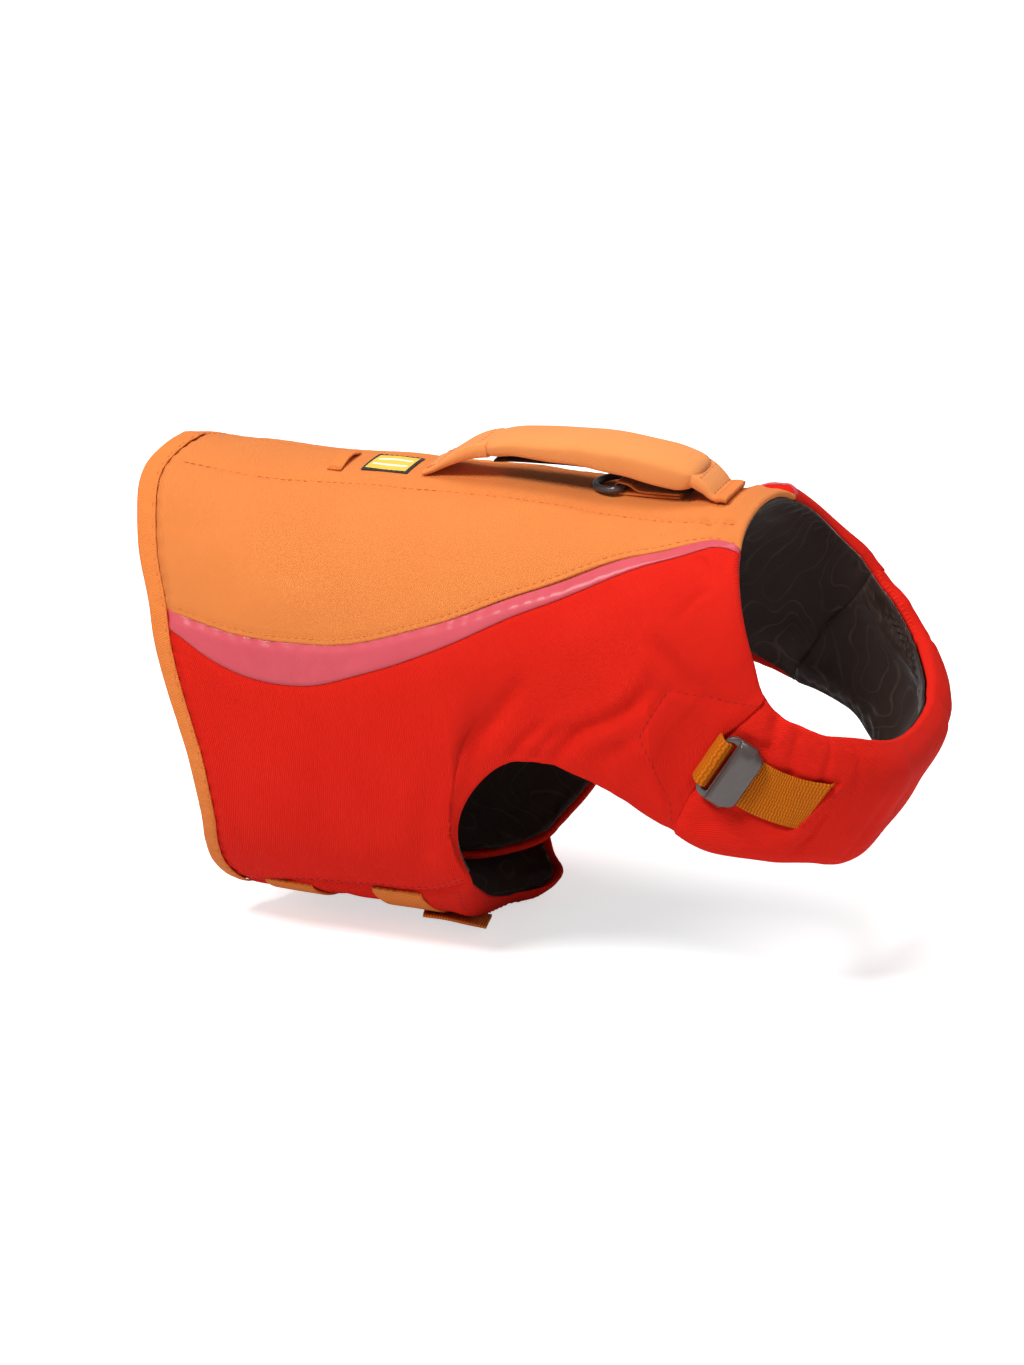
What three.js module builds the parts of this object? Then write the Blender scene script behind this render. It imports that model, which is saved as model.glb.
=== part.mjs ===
import * as THREE from 'three';

// A dog's life jacket, filled out as worn with nobody in it. Millimetres, +X to the head,
// +Y to the wearer's left, +Z up. The origin is on the lining over the middle of the spine.

const SEAM_GAP = 0.3;
const GIRTH_HALF = 300;
const LINING_WALL = 1.5;
const EDGE_WALL = 3.2;
const EDGE_DROP = 1.6;
const EDGE_ROUNDING = 7;
const PADDING_RUN_IN = 20;
const SEAM_DROP = 0.7;
const SEAM_ROUNDING = 5;
const BACK_WALL = 9.2;
const SIDE_WALL = 6.6;
const CHEST_WALL = 8.4;
const BELLY_WALL = 4;
const BELLY_LINING_WALL = 1.2;
const BINDING_WIDTH = 9.5;
const BINDING_WALL = 1.1;
const BAND_BED = 1.5;
const BAND_WALL = 0.9;
const GROOVE_DEPTH = 1.3;
const GROOVE_HALF = 0.012;
const DEEPEST_FOLD = 2.6;
const WEBBING_WIDTH = 25;
const WEBBING_WALL = 1.8;

const COLOURS = {
  orange: 0xf7934e,
  red: 0xe84034,
  pink: 0xe05a69,
  lining: 0x3a3028,
  webbing: 0xcd731e,
  hard: 0x5f5656,
  label: 0xe9c648,
};

function table(columns, rows) {
  return rows.map((row) => Object.fromEntries(columns.map((name, i) => [name, row[i]])));
}

// Rings from the tail to the neck. Each leans: its spine point and its keel point have their own x.
const RINGS = table(
  ['x', 'spineZ', 'keelX', 'keelZ', 'half', 'scoop', 'upper', 'lower'],
  [
    [-203, 7, -160, -196, 87, 0, 2.15, 2.4],
    [-150, 8, -126, -197, 90, 0, 2.15, 2.4],
    [-90, 9.5, -78, -197, 90, 0, 2.15, 2.35],
    [-30, 11, -25, -197, 89, 0, 2.15, 2.35],
    [15, 11, 30, -194, 87, 0, 2.15, 2.4],
    [45, 12, 80, -180, 84, -2, 2.15, 2.5],
    [65, 14, 122, -157, 80, -5, 2.15, 2.6],
    [76, 15, 152, -127, 76, -8, 2.15, 2.7],
    [84, 15.5, 166, -98, 71, -12, 2.15, 2.7],
    [88, 16, 160, -79, 68, -15, 2.15, 2.7],
  ],
);

// Where the rear and neck edges lie, and the lines of the yoke and of the shiny band, by share
// of the way down from the spine (0) to the keel (1).
const REAR_EDGE = table(['down', 'x'], [
  [0, -199], [0.12, -203], [0.27, -200], [0.34, -195], [0.4, -193], [0.48, -188],
  [0.54, -184], [0.63, -187], [0.7, -195], [0.76, -199], [0.85, -195], [1, -182],
]);
const NECK_EDGE = table(['down', 'x'], [
  [0, 82], [0.18, 82], [0.32, 82], [0.44, 80.5], [0.5, 79], [0.57, 82.5],
  [0.67, 86], [0.78, 87.5], [1, 87.5],
]);
const YOKE = table(['x', 'down'], [
  [-203, 0.343], [-185, 0.346], [-164, 0.358], [-148, 0.366], [-130, 0.369], [-113, 0.368],
  [-99, 0.366], [-82, 0.356], [-63, 0.337], [-37, 0.306], [-13, 0.265], [6, 0.232],
  [31, 0.182], [51, 0.16], [62, 0.15], [72, 0.152], [84, 0.185],
]);
const BAND_EDGE = table(['x', 'down'], [
  [-203, 0.37], [-184, 0.377], [-164, 0.406], [-148, 0.422], [-133, 0.43], [-119, 0.432],
  [-104, 0.427], [-83, 0.407], [-61, 0.382], [-35, 0.343], [-11, 0.296], [8, 0.262],
  [41, 0.198], [63, 0.178], [72, 0.176], [84, 0.2],
]);

// Lines drawn on the garment as x and share down, right side first and left side second.
const onRearEdge = (down) => [read(REAR_EDGE, 'down', down, 'x'), down];
const BELLY_SEAM = [onRearEdge(0.852), [-138, 0.792], [-94, 0.772], [-60, 0.756], [-35, 0.705]];
const LEG_EDGE_RIGHT = [
  [-35, 0.705], [-37, 0.63], [-34, 0.577], [-27, 0.538], [-16, 0.507], [-5, 0.498],
  [9, 0.498], [23, 0.51], [33, 0.53], [40, 0.556], [47, 0.585],
];
const FLAP_EDGE_RIGHT = [
  [47, 0.585], [51, 0.556], [56, 0.534], [66, 0.503], [72, 0.499], [79, 0.5],
];
const CHEST_HEM_RIGHT = [
  [47, 0.585], [53, 0.625], [61, 0.673], [66, 0.73], [69, 0.785], [70, 0.853], [70, 1],
];
const HEM_LEFT = [
  onRearEdge(0.955), [-130, 0.972], [-73, 0.969], [-55, 0.926], [-43, 0.878], [-38, 0.821],
  [-34, 0.768], [-30, 0.728],
];
const LEG_EDGE_LEFT = [
  [-30, 0.728], [-31, 0.64], [-28, 0.585], [-22, 0.544], [-12, 0.512], [0, 0.5],
  [14, 0.498], [28, 0.505], [38, 0.517], [46, 0.531], [52, 0.549],
];
const FLAP_EDGE_LEFT = [
  [52, 0.549], [55, 0.536], [60, 0.52], [67, 0.503], [72, 0.499], [79, 0.5],
];
const CHEST_HEM_LEFT = [
  [52, 0.549], [58, 0.572], [65, 0.621], [68, 0.68], [69.5, 0.75], [70, 0.85], [70, 1],
];
const BELLY_FRONT = [
  [-35, 0.705], [-41, 0.84], [-43, 1], [-33, 1.03], [-30, 1.1], [-38, 1.2], [-43, 1.3], [-46, 1.39],
];
const BELLY_REAR = [
  onRearEdge(0.852), [-186, 0.9], [-177, 1], [-178, 1.15], [-182, 1.27], [-184, 1.39],
];
const BELLY_TOP_LEFT = [[-184, 1.39], [-120, 1.385], [-46, 1.39]];

// Soft troughs where the cloth hangs from the leg opening, as x and share down at each end.
const FOLDS = table(['x0', 'down0', 'x1', 'down1', 'width', 'depth'], [
  [-33, 0.5, -8, 0.4, 5, 2.2],
  [-12, 0.44, 10, 0.37, 5, 1.8],
  [4, 0.45, 34, 0.34, 6, 2.4],
  [20, 0.46, 56, 0.33, 6, 2],
  [46, 0.42, 68, 0.4, 5, 1.8],
  [56, 0.26, 78, 0.22, 5, 1.5],
]);

function smooth(share) {
  const t = THREE.MathUtils.clamp(share, 0, 1);
  return t * t * (3 - 2 * t);
}

function read(rows, key, value, name) {
  const last = rows.length - 1;
  const v = THREE.MathUtils.clamp(value, rows[0][key], rows[last][key]);
  let i = 0;
  while (i < last - 1 && rows[i + 1][key] < v) {
    i += 1;
  }
  const slope = (k) => {
    const a = rows[Math.max(k - 1, 0)];
    const b = rows[Math.min(k + 1, last)];
    return (b[name] - a[name]) / (b[key] - a[key]);
  };
  const span = rows[i + 1][key] - rows[i][key];
  const t = (v - rows[i][key]) / span;
  const t2 = t * t;
  const t3 = t2 * t;
  return (2 * t3 - 3 * t2 + 1) * rows[i][name] + (t3 - 2 * t2 + t) * span * slope(i)
    + (3 * t2 - 2 * t3) * rows[i + 1][name] + (t3 - t2) * span * slope(i + 1);
}

// The outer face: x along the spine, turn from 0 at the spine to 1 at the keel, negative to the
// right. A turn past 1 comes up the other side.
function skin(x, turn) {
  const at = (name) => read(RINGS, 'x', x, name);
  const cosine = Math.cos(Math.PI * turn);
  const sine = Math.sin(Math.PI * turn);
  const power = cosine >= 0 ? at('upper') : at('lower');
  const drop = (1 - Math.sign(cosine) * Math.abs(cosine) ** (2 / power)) / 2;
  const out = Math.sign(sine) * Math.abs(sine) ** (2 / power);
  return new THREE.Vector3(
    x + (at('keelX') - x) * drop + at('scoop') * sine * sine,
    at('half') * out,
    at('spineZ') + (at('keelZ') - at('spineZ')) * drop,
  );
}

function outward(x, turn) {
  const stepX = 1;
  const stepTurn = 0.004;
  const along = skin(x + stepX, turn).sub(skin(x - stepX, turn));
  const round = skin(x, turn + stepTurn).sub(skin(x, turn - stepTurn));
  return along.cross(round).normalize();
}

function lifted(x, turn, lift) {
  return skin(x, turn).addScaledVector(outward(x, turn), lift);
}

function line(points) {
  return new THREE.CatmullRomCurve3(
    points.map(([x, down]) => new THREE.Vector3(x, down * GIRTH_HALF, 0)),
    false,
    'centripetal',
  );
}

function onLine(curve, share) {
  const p = curve.getPointAt(THREE.MathUtils.clamp(share, 0, 1));
  return { x: p.x, turn: p.y / GIRTH_HALF };
}

// Stops along a line: fixed distances from its start, even steps, then fixed distances from its end.
function stops(curve, fromStart, steps, fromEnd) {
  const length = curve.getLength();
  const first = fromStart[fromStart.length - 1] / length;
  const last = 1 - fromEnd[0] / length;
  const middle = [];
  for (let i = 1; i < steps; i += 1) {
    middle.push(first + ((last - first) * i) / steps);
  }
  return [...fromStart.map((d) => d / length), ...middle, ...fromEnd.map((d) => 1 - d / length)];
}

const REAR_STOPS = [0, BINDING_WIDTH, 14, 22];
const EDGE_STOPS = [9, 3, 0];
const NECK_STOPS = [20, 9, 3, 0];
const SEAM_STEPS = 3;
const LEG_STEPS = 11;
const FLAP_STEPS = 3;

function sample(points, fromStart, steps, fromEnd) {
  const curve = line(points);
  return stops(curve, fromStart, steps, fromEnd).map((share) => onLine(curve, share));
}

function yokeLine() {
  const lastX = read(NECK_EDGE, 'down', 0.185, 'x');
  const firstX = read(REAR_EDGE, 'down', 0.343, 'x');
  const marks = [
    ...REAR_STOPS.map((d) => firstX + d),
    -140, -98, -64, -55, -48,
    -40, -32, -24, -16, -8, 0, 8, 16, 24, 32, 39,
    43, 46, 50, 56, 61,
    ...NECK_STOPS.slice(1).map((d) => lastX - d * 1.6),
  ];
  return marks.map((x) => ({ x, turn: read(YOKE, 'x', x, 'down') }));
}

function edgeDown(rows, from, to, share) {
  const turn = from + (to - from) * share;
  return { x: read(rows, 'down', Math.abs(turn), 'x'), turn };
}

// Fills the patch inside four edges; each edge is a function of a share from 0 to 1.
function patch(top, bottom, rear, neck) {
  const corner = {
    topRear: top(0),
    topNeck: top(1),
    bottomRear: bottom(0),
    bottomNeck: bottom(1),
  };
  return (along, down) => {
    const mix = (key) => (1 - down) * top(along)[key] + down * bottom(along)[key]
      + (1 - along) * rear(down)[key] + along * neck(down)[key]
      - (1 - along) * ((1 - down) * corner.topRear[key] + down * corner.bottomRear[key])
      - along * ((1 - down) * corner.topNeck[key] + down * corner.bottomNeck[key]);
    return { x: mix('x'), turn: mix('turn') };
  };
}

function listEdge(list) {
  const last = list.length - 1;
  return (share) => {
    const at = THREE.MathUtils.clamp(share * last, 0, last);
    const i = Math.min(Math.floor(at + 1e-9), last - 1);
    const t = at - i;
    return {
      x: list[i].x * (1 - t) + list[i + 1].x * t,
      turn: list[i].turn * (1 - t) + list[i + 1].turn * t,
    };
  };
}

function mirrored(list) {
  return list.map(({ x, turn }) => ({ x, turn: -turn }));
}

function segmentDistance(p, a, b) {
  const ab = b.clone().sub(a);
  const t = THREE.MathUtils.clamp(p.clone().sub(a).dot(ab) / ab.lengthSq(), 0, 1);
  return p.distanceTo(a.clone().addScaledVector(ab, t));
}

// Lays out a panel's points: base point, outward direction and its distances to bound, free
// and sewn edges.
function layOut(cols, rows, place, kinds, lift) {
  const nodes = [];
  for (let c = 0; c <= cols; c += 1) {
    nodes.push([]);
    for (let r = 0; r <= rows; r += 1) {
      const { x, turn } = place(c, r);
      nodes[c].push({
        x, turn, c, r, normal: outward(x, turn), base: lifted(x, turn, lift(x, turn, c, r)),
      });
    }
  }
  const chains = { bound: [], free: [], seam: [] };
  const add = (kind, a, b) => chains[kind].push([a.base, b.base]);
  for (let c = 0; c < cols; c += 1) {
    add(kinds.top(c), nodes[c][0], nodes[c + 1][0]);
    add(kinds.bottom(c), nodes[c][rows], nodes[c + 1][rows]);
  }
  for (let r = 0; r < rows; r += 1) {
    add(kinds.rear, nodes[0][r], nodes[0][r + 1]);
    add(kinds.neck, nodes[cols][r], nodes[cols][r + 1]);
  }
  const nearest = (p, chain) => chain.reduce((d, [a, b]) => Math.min(d, segmentDistance(p, a, b)), 1e3);
  nodes.flat().forEach((node) => {
    Object.keys(chains).forEach((kind) => {
      node[kind] = nearest(node.base, chains[kind]);
    });
  });
  return nodes;
}

function edgeDrop(node) {
  const bound = EDGE_DROP * (1 - smooth((node.bound - BINDING_WIDTH - 0.2) / 4.5));
  const free = EDGE_DROP * (1 - smooth(node.free / EDGE_ROUNDING));
  const seam = SEAM_DROP * (1 - smooth(node.seam / SEAM_ROUNDING));
  return Math.max(bound, free, seam);
}

function wallAt(node, full) {
  const bound = smooth((node.bound - BINDING_WIDTH - 0.2) / 12);
  const free = smooth(node.free / PADDING_RUN_IN);
  return EDGE_WALL + (full - EDGE_WALL) * Math.min(bound, free);
}

const group = new THREE.Group();

function finish(name, colour, points, faces, roughness = 0.85, metalness = 0) {
  const geometry = new THREE.BufferGeometry();
  geometry.setAttribute('position', new THREE.Float32BufferAttribute(points.flatMap((p) => p.toArray()), 3));
  geometry.setIndex(faces.flat());
  geometry.computeVertexNormals();
  const mesh = new THREE.Mesh(
    geometry,
    new THREE.MeshStandardMaterial({ color: colour, roughness, metalness }),
  );
  mesh.name = name;
  group.add(mesh);
  return mesh;
}

// A closed wall between two grids of points of the same size; the outer grid faces out. Walls laid
// on the same guide grid are split into triangles the same way, so that they nest.
function wall(name, colour, outer, inner, guide, options = {}) {
  const cols = outer.length - 1;
  const rows = outer[0].length - 1;
  const count = (cols + 1) * (rows + 1);
  const points = [...outer.flat(), ...inner.flat()];
  const at = (c, r) => c * (rows + 1) + r;
  const faces = [];
  const turned = (list) => (options.flip ? list.map(([i, j, k]) => [i, k, j]) : list);
  const quad = (a, b, c, d, straight) => {
    faces.push(...turned(straight ? [[a, b, c], [a, c, d]] : [[a, b, d], [b, c, d]]));
  };
  for (let c = 0; c < cols; c += 1) {
    for (let r = 0; r < rows; r += 1) {
      const main = guide[c][r].distanceTo(guide[c + 1][r + 1]);
      const cross = guide[c + 1][r].distanceTo(guide[c][r + 1]);
      const straight = main <= cross;
      quad(at(c, r), at(c + 1, r), at(c + 1, r + 1), at(c, r + 1), straight);
      quad(count + at(c, r + 1), count + at(c + 1, r + 1), count + at(c + 1, r), count + at(c, r), !straight);
    }
  }
  for (let c = 0; c < cols; c += 1) {
    quad(at(c + 1, 0), at(c, 0), count + at(c, 0), count + at(c + 1, 0), true);
    quad(at(c, rows), at(c + 1, rows), count + at(c + 1, rows), count + at(c, rows), true);
  }
  for (let r = 0; r < rows; r += 1) {
    quad(at(0, r), at(0, r + 1), count + at(0, r + 1), count + at(0, r), true);
    quad(at(cols, r + 1), at(cols, r), count + at(cols, r), count + at(cols, r + 1), true);
  }
  return finish(name, colour, points, faces, options.roughness);
}

function shift(nodes, offset) {
  const moved = (node) => node.base.clone().addScaledVector(node.normal, offset(node));
  return nodes.map((list) => list.map(moved));
}

function shellAndLining(name, colour, nodes, full, liningWall, dent, flip) {
  const outer = (node) => -edgeDrop(node) - dent(node);
  const inner = (node) => -edgeDrop(node) - wallAt(node, full);
  const guide = shift(nodes, () => 0);
  wall(`${name}_panel`, colour, shift(nodes, outer), shift(nodes, inner), guide, { flip });
  wall(
    `${name}_lining`,
    COLOURS.lining,
    shift(nodes, (node) => inner(node) - SEAM_GAP),
    shift(nodes, (node) => inner(node) - SEAM_GAP - liningWall),
    guide,
    { flip },
  );
}

const HALF_GAP = 0.25 / GIRTH_HALF;

// Back panel, from yoke to yoke across the spine, with a stitched groove on each side.
const yoke = yokeLine();
const yokeFront = yoke[yoke.length - 1];
const COLUMNS = yoke.length - 1;
const GROOVE = 0.09;

function backTurn(c, side, step) {
  const edge = yoke[c].turn - HALF_GAP;
  const inner = [0, 0.045, GROOVE - GROOVE_HALF, GROOVE, GROOVE + GROOVE_HALF];
  if (step < inner.length) {
    return side * inner[step];
  }
  const from = inner[inner.length - 1];
  const shares = [0.35, 0.72, 1];
  return side * (from + (edge - from) * shares[step - inner.length]);
}

const BACK_HALF_STEPS = 7;

function backPlace(c, r) {
  const step = Math.abs(r - BACK_HALF_STEPS);
  const turn = backTurn(c, Math.sign(r - BACK_HALF_STEPS) || 1, step);
  const share = c / COLUMNS;
  const down = Math.abs(turn);
  const rear = read(REAR_EDGE, 'down', down, 'x') - yoke[0].x;
  const neck = read(NECK_EDGE, 'down', down, 'x') - yokeFront.x;
  return { x: yoke[c].x + (1 - share) * rear + share * neck, turn };
}

const back = layOut(
  COLUMNS,
  2 * BACK_HALF_STEPS,
  backPlace,
  { top: () => 'seam', bottom: () => 'seam', rear: 'bound', neck: 'free' },
  () => 0,
);

function grooveDent(node) {
  const off = Math.abs(Math.abs(node.turn) - GROOVE) / GROOVE_HALF;
  const ends = smooth((node.bound - BINDING_WIDTH) / 8) * smooth(node.free / 12);
  return GROOVE_DEPTH * ends * (1 - smooth(off));
}

shellAndLining('back', COLOURS.orange, back, BACK_WALL, LINING_WALL, grooveDent, false);

// Side panels, from the yoke down to the belly, round the leg opening and up the chest flap.
const BAND_ROWS = 2;
const SIDE_MIDDLE_ROWS = 6;
const SIDE_ROWS = BAND_ROWS + SIDE_MIDDLE_ROWS + 2;

function sideRow(column, topNode, bottomNode, r) {
  const length = Math.hypot(bottomNode.x - topNode.x, (bottomNode.turn - topNode.turn) * GIRTH_HALF);
  const bandWidth = Math.max(read(BAND_EDGE, 'x', topNode.x, 'down') - topNode.turn, 0.008);
  const band = bandWidth / (bottomNode.turn - topNode.turn);
  const rounding = 1 - 9 / length;
  if (r <= BAND_ROWS) {
    return (band * r) / BAND_ROWS;
  }
  if (r <= BAND_ROWS + SIDE_MIDDLE_ROWS) {
    return band + ((rounding - band) * (r - BAND_ROWS)) / SIDE_MIDDLE_ROWS;
  }
  return r === SIDE_ROWS ? 1 : 1 - 3 / length;
}

function foldDent(node) {
  const down = Math.abs(node.turn) * GIRTH_HALF;
  const dent = (fold) => {
    const a = new THREE.Vector2(fold.x0, fold.down0 * GIRTH_HALF);
    const b = new THREE.Vector2(fold.x1, fold.down1 * GIRTH_HALF);
    const ab = b.clone().sub(a);
    const p = new THREE.Vector2(node.x, down).sub(a);
    const share = THREE.MathUtils.clamp(p.dot(ab) / ab.lengthSq(), 0, 1);
    const off = p.addScaledVector(ab, -share).length() / fold.width;
    return fold.depth * Math.exp(-off * off);
  };
  const sum = FOLDS.reduce((total, fold) => total + dent(fold), 0);
  return Math.min(sum, DEEPEST_FOLD) * smooth((node.free - 2) / 10);
}

function sideNodes(side, lower, seamColumns, lift) {
  const top = yoke.map(({ x, turn }) => ({ x, turn: turn + HALF_GAP }));
  const first = top[0].turn;
  const last = lower[0].turn;
  const neckFirst = top[COLUMNS].turn;
  const neckLast = lower[COLUMNS].turn;
  const fill = patch(
    listEdge(top),
    listEdge(lower),
    (share) => edgeDown(REAR_EDGE, first, last, share),
    (share) => edgeDown(NECK_EDGE, neckFirst, neckLast, share),
  );
  const place = (c, r) => {
    const spot = fill(c / COLUMNS, sideRow(c, top[c], lower[c], r));
    return { x: spot.x, turn: side * spot.turn };
  };
  const kinds = {
    top: () => 'seam',
    bottom: (c) => {
      if (c < seamColumns) {
        return side < 0 ? 'seam' : 'free';
      }
      return c < seamColumns + LEG_STEPS ? 'free' : 'seam';
    },
    rear: 'bound',
    neck: 'free',
  };
  return layOut(COLUMNS, SIDE_ROWS, place, kinds, lift);
}

const seamRight = sample(BELLY_SEAM, REAR_STOPS, SEAM_STEPS, EDGE_STOPS);
const seamLeft = sample(HEM_LEFT, REAR_STOPS, SEAM_STEPS, EDGE_STOPS);
const SEAM_COLUMNS = seamRight.length - 1;

function evenly(points, steps) {
  const curve = line(points);
  return Array.from({ length: steps - 1 }, (_, i) => onLine(curve, (i + 1) / steps));
}

function flapStops(points) {
  return sample(points, [0, 3, 9], FLAP_STEPS, NECK_STOPS);
}

const flapRight = flapStops(FLAP_EDGE_RIGHT);
const flapLeft = flapStops(FLAP_EDGE_LEFT);
const lowerRight = [...seamRight, ...evenly(LEG_EDGE_RIGHT, LEG_STEPS), ...flapRight];
const lowerLeft = [...seamLeft, ...evenly(LEG_EDGE_LEFT, LEG_STEPS), ...flapLeft];

const TUCK = table(['down', 'lift'], [[0, 0], [0.5, 0], [0.6, -1], [0.8, -4.5], [0.97, -7.5], [1, -7.5]]);

function bandBed(c, r) {
  return r <= BAND_ROWS ? -BAND_BED * smooth((c - 1) / 2) : 0;
}

const right = sideNodes(-1, lowerRight, SEAM_COLUMNS, (x, turn, c, r) => bandBed(c, r));
const left = sideNodes(1, lowerLeft, SEAM_COLUMNS, (x, turn, c, r) => (
  bandBed(c, r) + read(TUCK, 'down', Math.abs(turn), 'lift') * smooth((20 - x) / 60)
));

function buildSide(name, nodes, flip) {
  shellAndLining(name, COLOURS.red, nodes, SIDE_WALL, LINING_WALL, foldDent, flip);
  const strip = nodes.slice(1).map((list) => list.slice(0, BAND_ROWS + 1));
  const bed = (node) => -edgeDrop(node) - foldDent(node) + SEAM_GAP;
  wall(
    `${name}_shiny_band`,
    COLOURS.pink,
    shift(strip, (node) => bed(node) + BAND_WALL),
    shift(strip, bed),
    shift(strip, () => 0),
    { flip, roughness: 0.35 },
  );
}

buildSide('right_side', right, true);
buildSide('left_side', left, false);

// Chest panel, from flap to flap across the front; the turn runs on past 1 up the left side.
const CHEST_STEPS = 14;
const CHEST_ROWS = flapRight.length - 1;
const CHEST_GAP = 0.5 / GIRTH_HALF;

function chestNodes() {
  const wrap = (turn) => 2 - turn;
  const leftHem = CHEST_HEM_LEFT.slice(0, -1).reverse().map(([x, down]) => [x, wrap(down)]);
  const hem = line([...CHEST_HEM_RIGHT, ...leftHem]);
  const firstColumn = [...flapRight].reverse();
  const lastColumn = [...flapLeft].reverse().map(({ x, turn }) => ({ x, turn: wrap(turn) }));
  const neckFirst = firstColumn[0].turn;
  const neckLast = lastColumn[0].turn;
  const neckEdge = (share) => {
    const turn = neckFirst + (neckLast - neckFirst) * share;
    const down = turn > 1 ? 2 - turn : turn;
    return { x: read(NECK_EDGE, 'down', down, 'x'), turn };
  };
  const fill = patch(
    listEdge(firstColumn),
    listEdge(lastColumn),
    neckEdge,
    (share) => onLine(hem, share),
  );
  const place = (c, r) => {
    const spot = fill(r / CHEST_ROWS, c / CHEST_STEPS);
    const nudge = CHEST_GAP * (c === 0) - CHEST_GAP * (c === CHEST_STEPS);
    return { x: spot.x, turn: -(spot.turn + nudge) };
  };
  const kinds = { top: () => 'free', bottom: () => 'free', rear: 'seam', neck: 'seam' };
  return layOut(CHEST_STEPS, CHEST_ROWS, place, kinds, () => 0);
}

const chest = chestNodes();
shellAndLining('chest', COLOURS.red, chest, CHEST_WALL, LINING_WALL, () => 0, true);

// Belly panel, from the right seam under the keel and up over the outside of the left panel.
const BELLY_STEPS = 14;
const BELLY_LIFT = table(['turn', 'lift'], [[0.7, 0], [1, 0], [1.06, 0.6], [1.2, 3.4], [1.39, 7], [1.45, 7]]);

function bellyNodes() {
  const rearCurve = line(BELLY_REAR);
  const frontCurve = line(BELLY_FRONT);
  const topCurve = line(BELLY_TOP_LEFT);
  const fill = patch(
    listEdge(seamRight),
    (share) => onLine(topCurve, share),
    (share) => onLine(rearCurve, share),
    (share) => onLine(frontCurve, share),
  );
  const shares = Array.from({ length: BELLY_STEPS + 1 }, (_, i) => i / BELLY_STEPS);
  shares[BELLY_STEPS - 1] = 1 - 3 / 200;
  shares[BELLY_STEPS - 2] = 1 - 9 / 200;
  const place = (c, r) => {
    const spot = fill(r / SEAM_COLUMNS, shares[c]);
    return { x: spot.x, turn: -(spot.turn + CHEST_GAP * (c === 0)) };
  };
  const kinds = { top: () => 'free', bottom: () => 'free', rear: 'seam', neck: 'free' };
  return layOut(BELLY_STEPS, SEAM_COLUMNS, place, kinds, (x, turn) => (
    read(BELLY_LIFT, 'turn', Math.abs(turn), 'lift')
  ));
}

const belly = bellyNodes();
shellAndLining('belly', COLOURS.red, belly, BELLY_WALL, BELLY_LINING_WALL, () => 0, false);

// Rear binding: a folded tape round the rear edge of the right, back and left panels.
function bindingNodes() {
  const pair = (nodes, r) => [nodes[0][r], nodes[1][r]];
  const rights = Array.from({ length: SIDE_ROWS }, (_, i) => pair(right, SIDE_ROWS - i));
  const backs = Array.from({ length: 2 * BACK_HALF_STEPS + 1 }, (_, i) => pair(back, i));
  const lefts = Array.from({ length: SIDE_ROWS }, (_, i) => pair(left, i + 1));
  return [...rights, ...backs, ...lefts];
}

function bindingSection([edge, next]) {
  const run = next.base.clone().sub(edge.base);
  const length = run.length();
  const liningDepth = EDGE_DROP + EDGE_WALL + SEAM_GAP + LINING_WALL;
  const outerFace = -EDGE_DROP + SEAM_GAP;
  const innerFace = -liningDepth - SEAM_GAP;
  const end = length - SEAM_GAP;
  const fold = SEAM_GAP + BINDING_WALL;
  const spot = (p, q) => {
    const normal = edge.normal.clone().lerp(next.normal, p / length);
    return edge.base.clone().addScaledVector(run, p / length).addScaledVector(normal, q);
  };
  return [
    spot(end, outerFace + BINDING_WALL),
    spot(end / 2, outerFace + BINDING_WALL + 0.2),
    spot(-fold / 2, outerFace + BINDING_WALL - 0.1),
    spot(-fold, outerFace),
    spot(-fold, innerFace),
    spot(-fold / 2, innerFace - BINDING_WALL + 0.1),
    spot(end, innerFace - BINDING_WALL),
    spot(end, innerFace),
    spot(-SEAM_GAP, innerFace),
    spot(-SEAM_GAP, outerFace),
    spot(end, outerFace),
  ];
}

// Sweeps closed sections one after another and caps both ends.
function sweep(name, colour, sections, flip = false, roughness = 0.85, metalness = 0, closed = false) {
  const size = sections[0].length;
  const count = sections.length;
  const points = sections.flat();
  const faces = [];
  const push = (a, b, c) => faces.push(flip ? [a, c, b] : [a, b, c]);
  const last = closed ? count : count - 1;
  for (let i = 0; i < last; i += 1) {
    for (let k = 0; k < size; k += 1) {
      const a = i * size + k;
      const b = i * size + ((k + 1) % size);
      const c = ((i + 1) % count) * size + ((k + 1) % size);
      const d = ((i + 1) % count) * size + k;
      push(a, b, c);
      push(a, c, d);
    }
  }
  if (!closed) {
    const cap = (offset, reverse) => {
      const own = points.slice(offset, offset + size);
      flatTriangles(own).forEach(([a, b, c]) => {
        const [i, j, k] = [a + offset, b + offset, c + offset];
        if (reverse) {
          push(i, j, k);
        } else {
          push(i, k, j);
        }
      });
    };
    cap(0, false);
    cap((count - 1) * size, true);
  }
  return finish(name, colour, points, faces, roughness, metalness);
}

function flatTriangles(own) {
  const centre = own.reduce((sum, p) => sum.add(p), new THREE.Vector3()).divideScalar(own.length);
  const normal = new THREE.Vector3();
  own.forEach((p, i) => {
    const q = own[(i + 1) % own.length];
    normal.add(p.clone().sub(centre).cross(q.clone().sub(centre)));
  });
  normal.normalize();
  const across = own[0].clone().sub(centre);
  across.addScaledVector(normal, -across.dot(normal)).normalize();
  const up = normal.clone().cross(across);
  const flat = own.map((p) => {
    const arm = p.clone().sub(centre);
    return new THREE.Vector2(arm.dot(across), arm.dot(up));
  });
  return THREE.ShapeUtils.triangulateShape(flat, []);
}

sweep('rear_binding', COLOURS.orange, bindingNodes().map(bindingSection), true);

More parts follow.
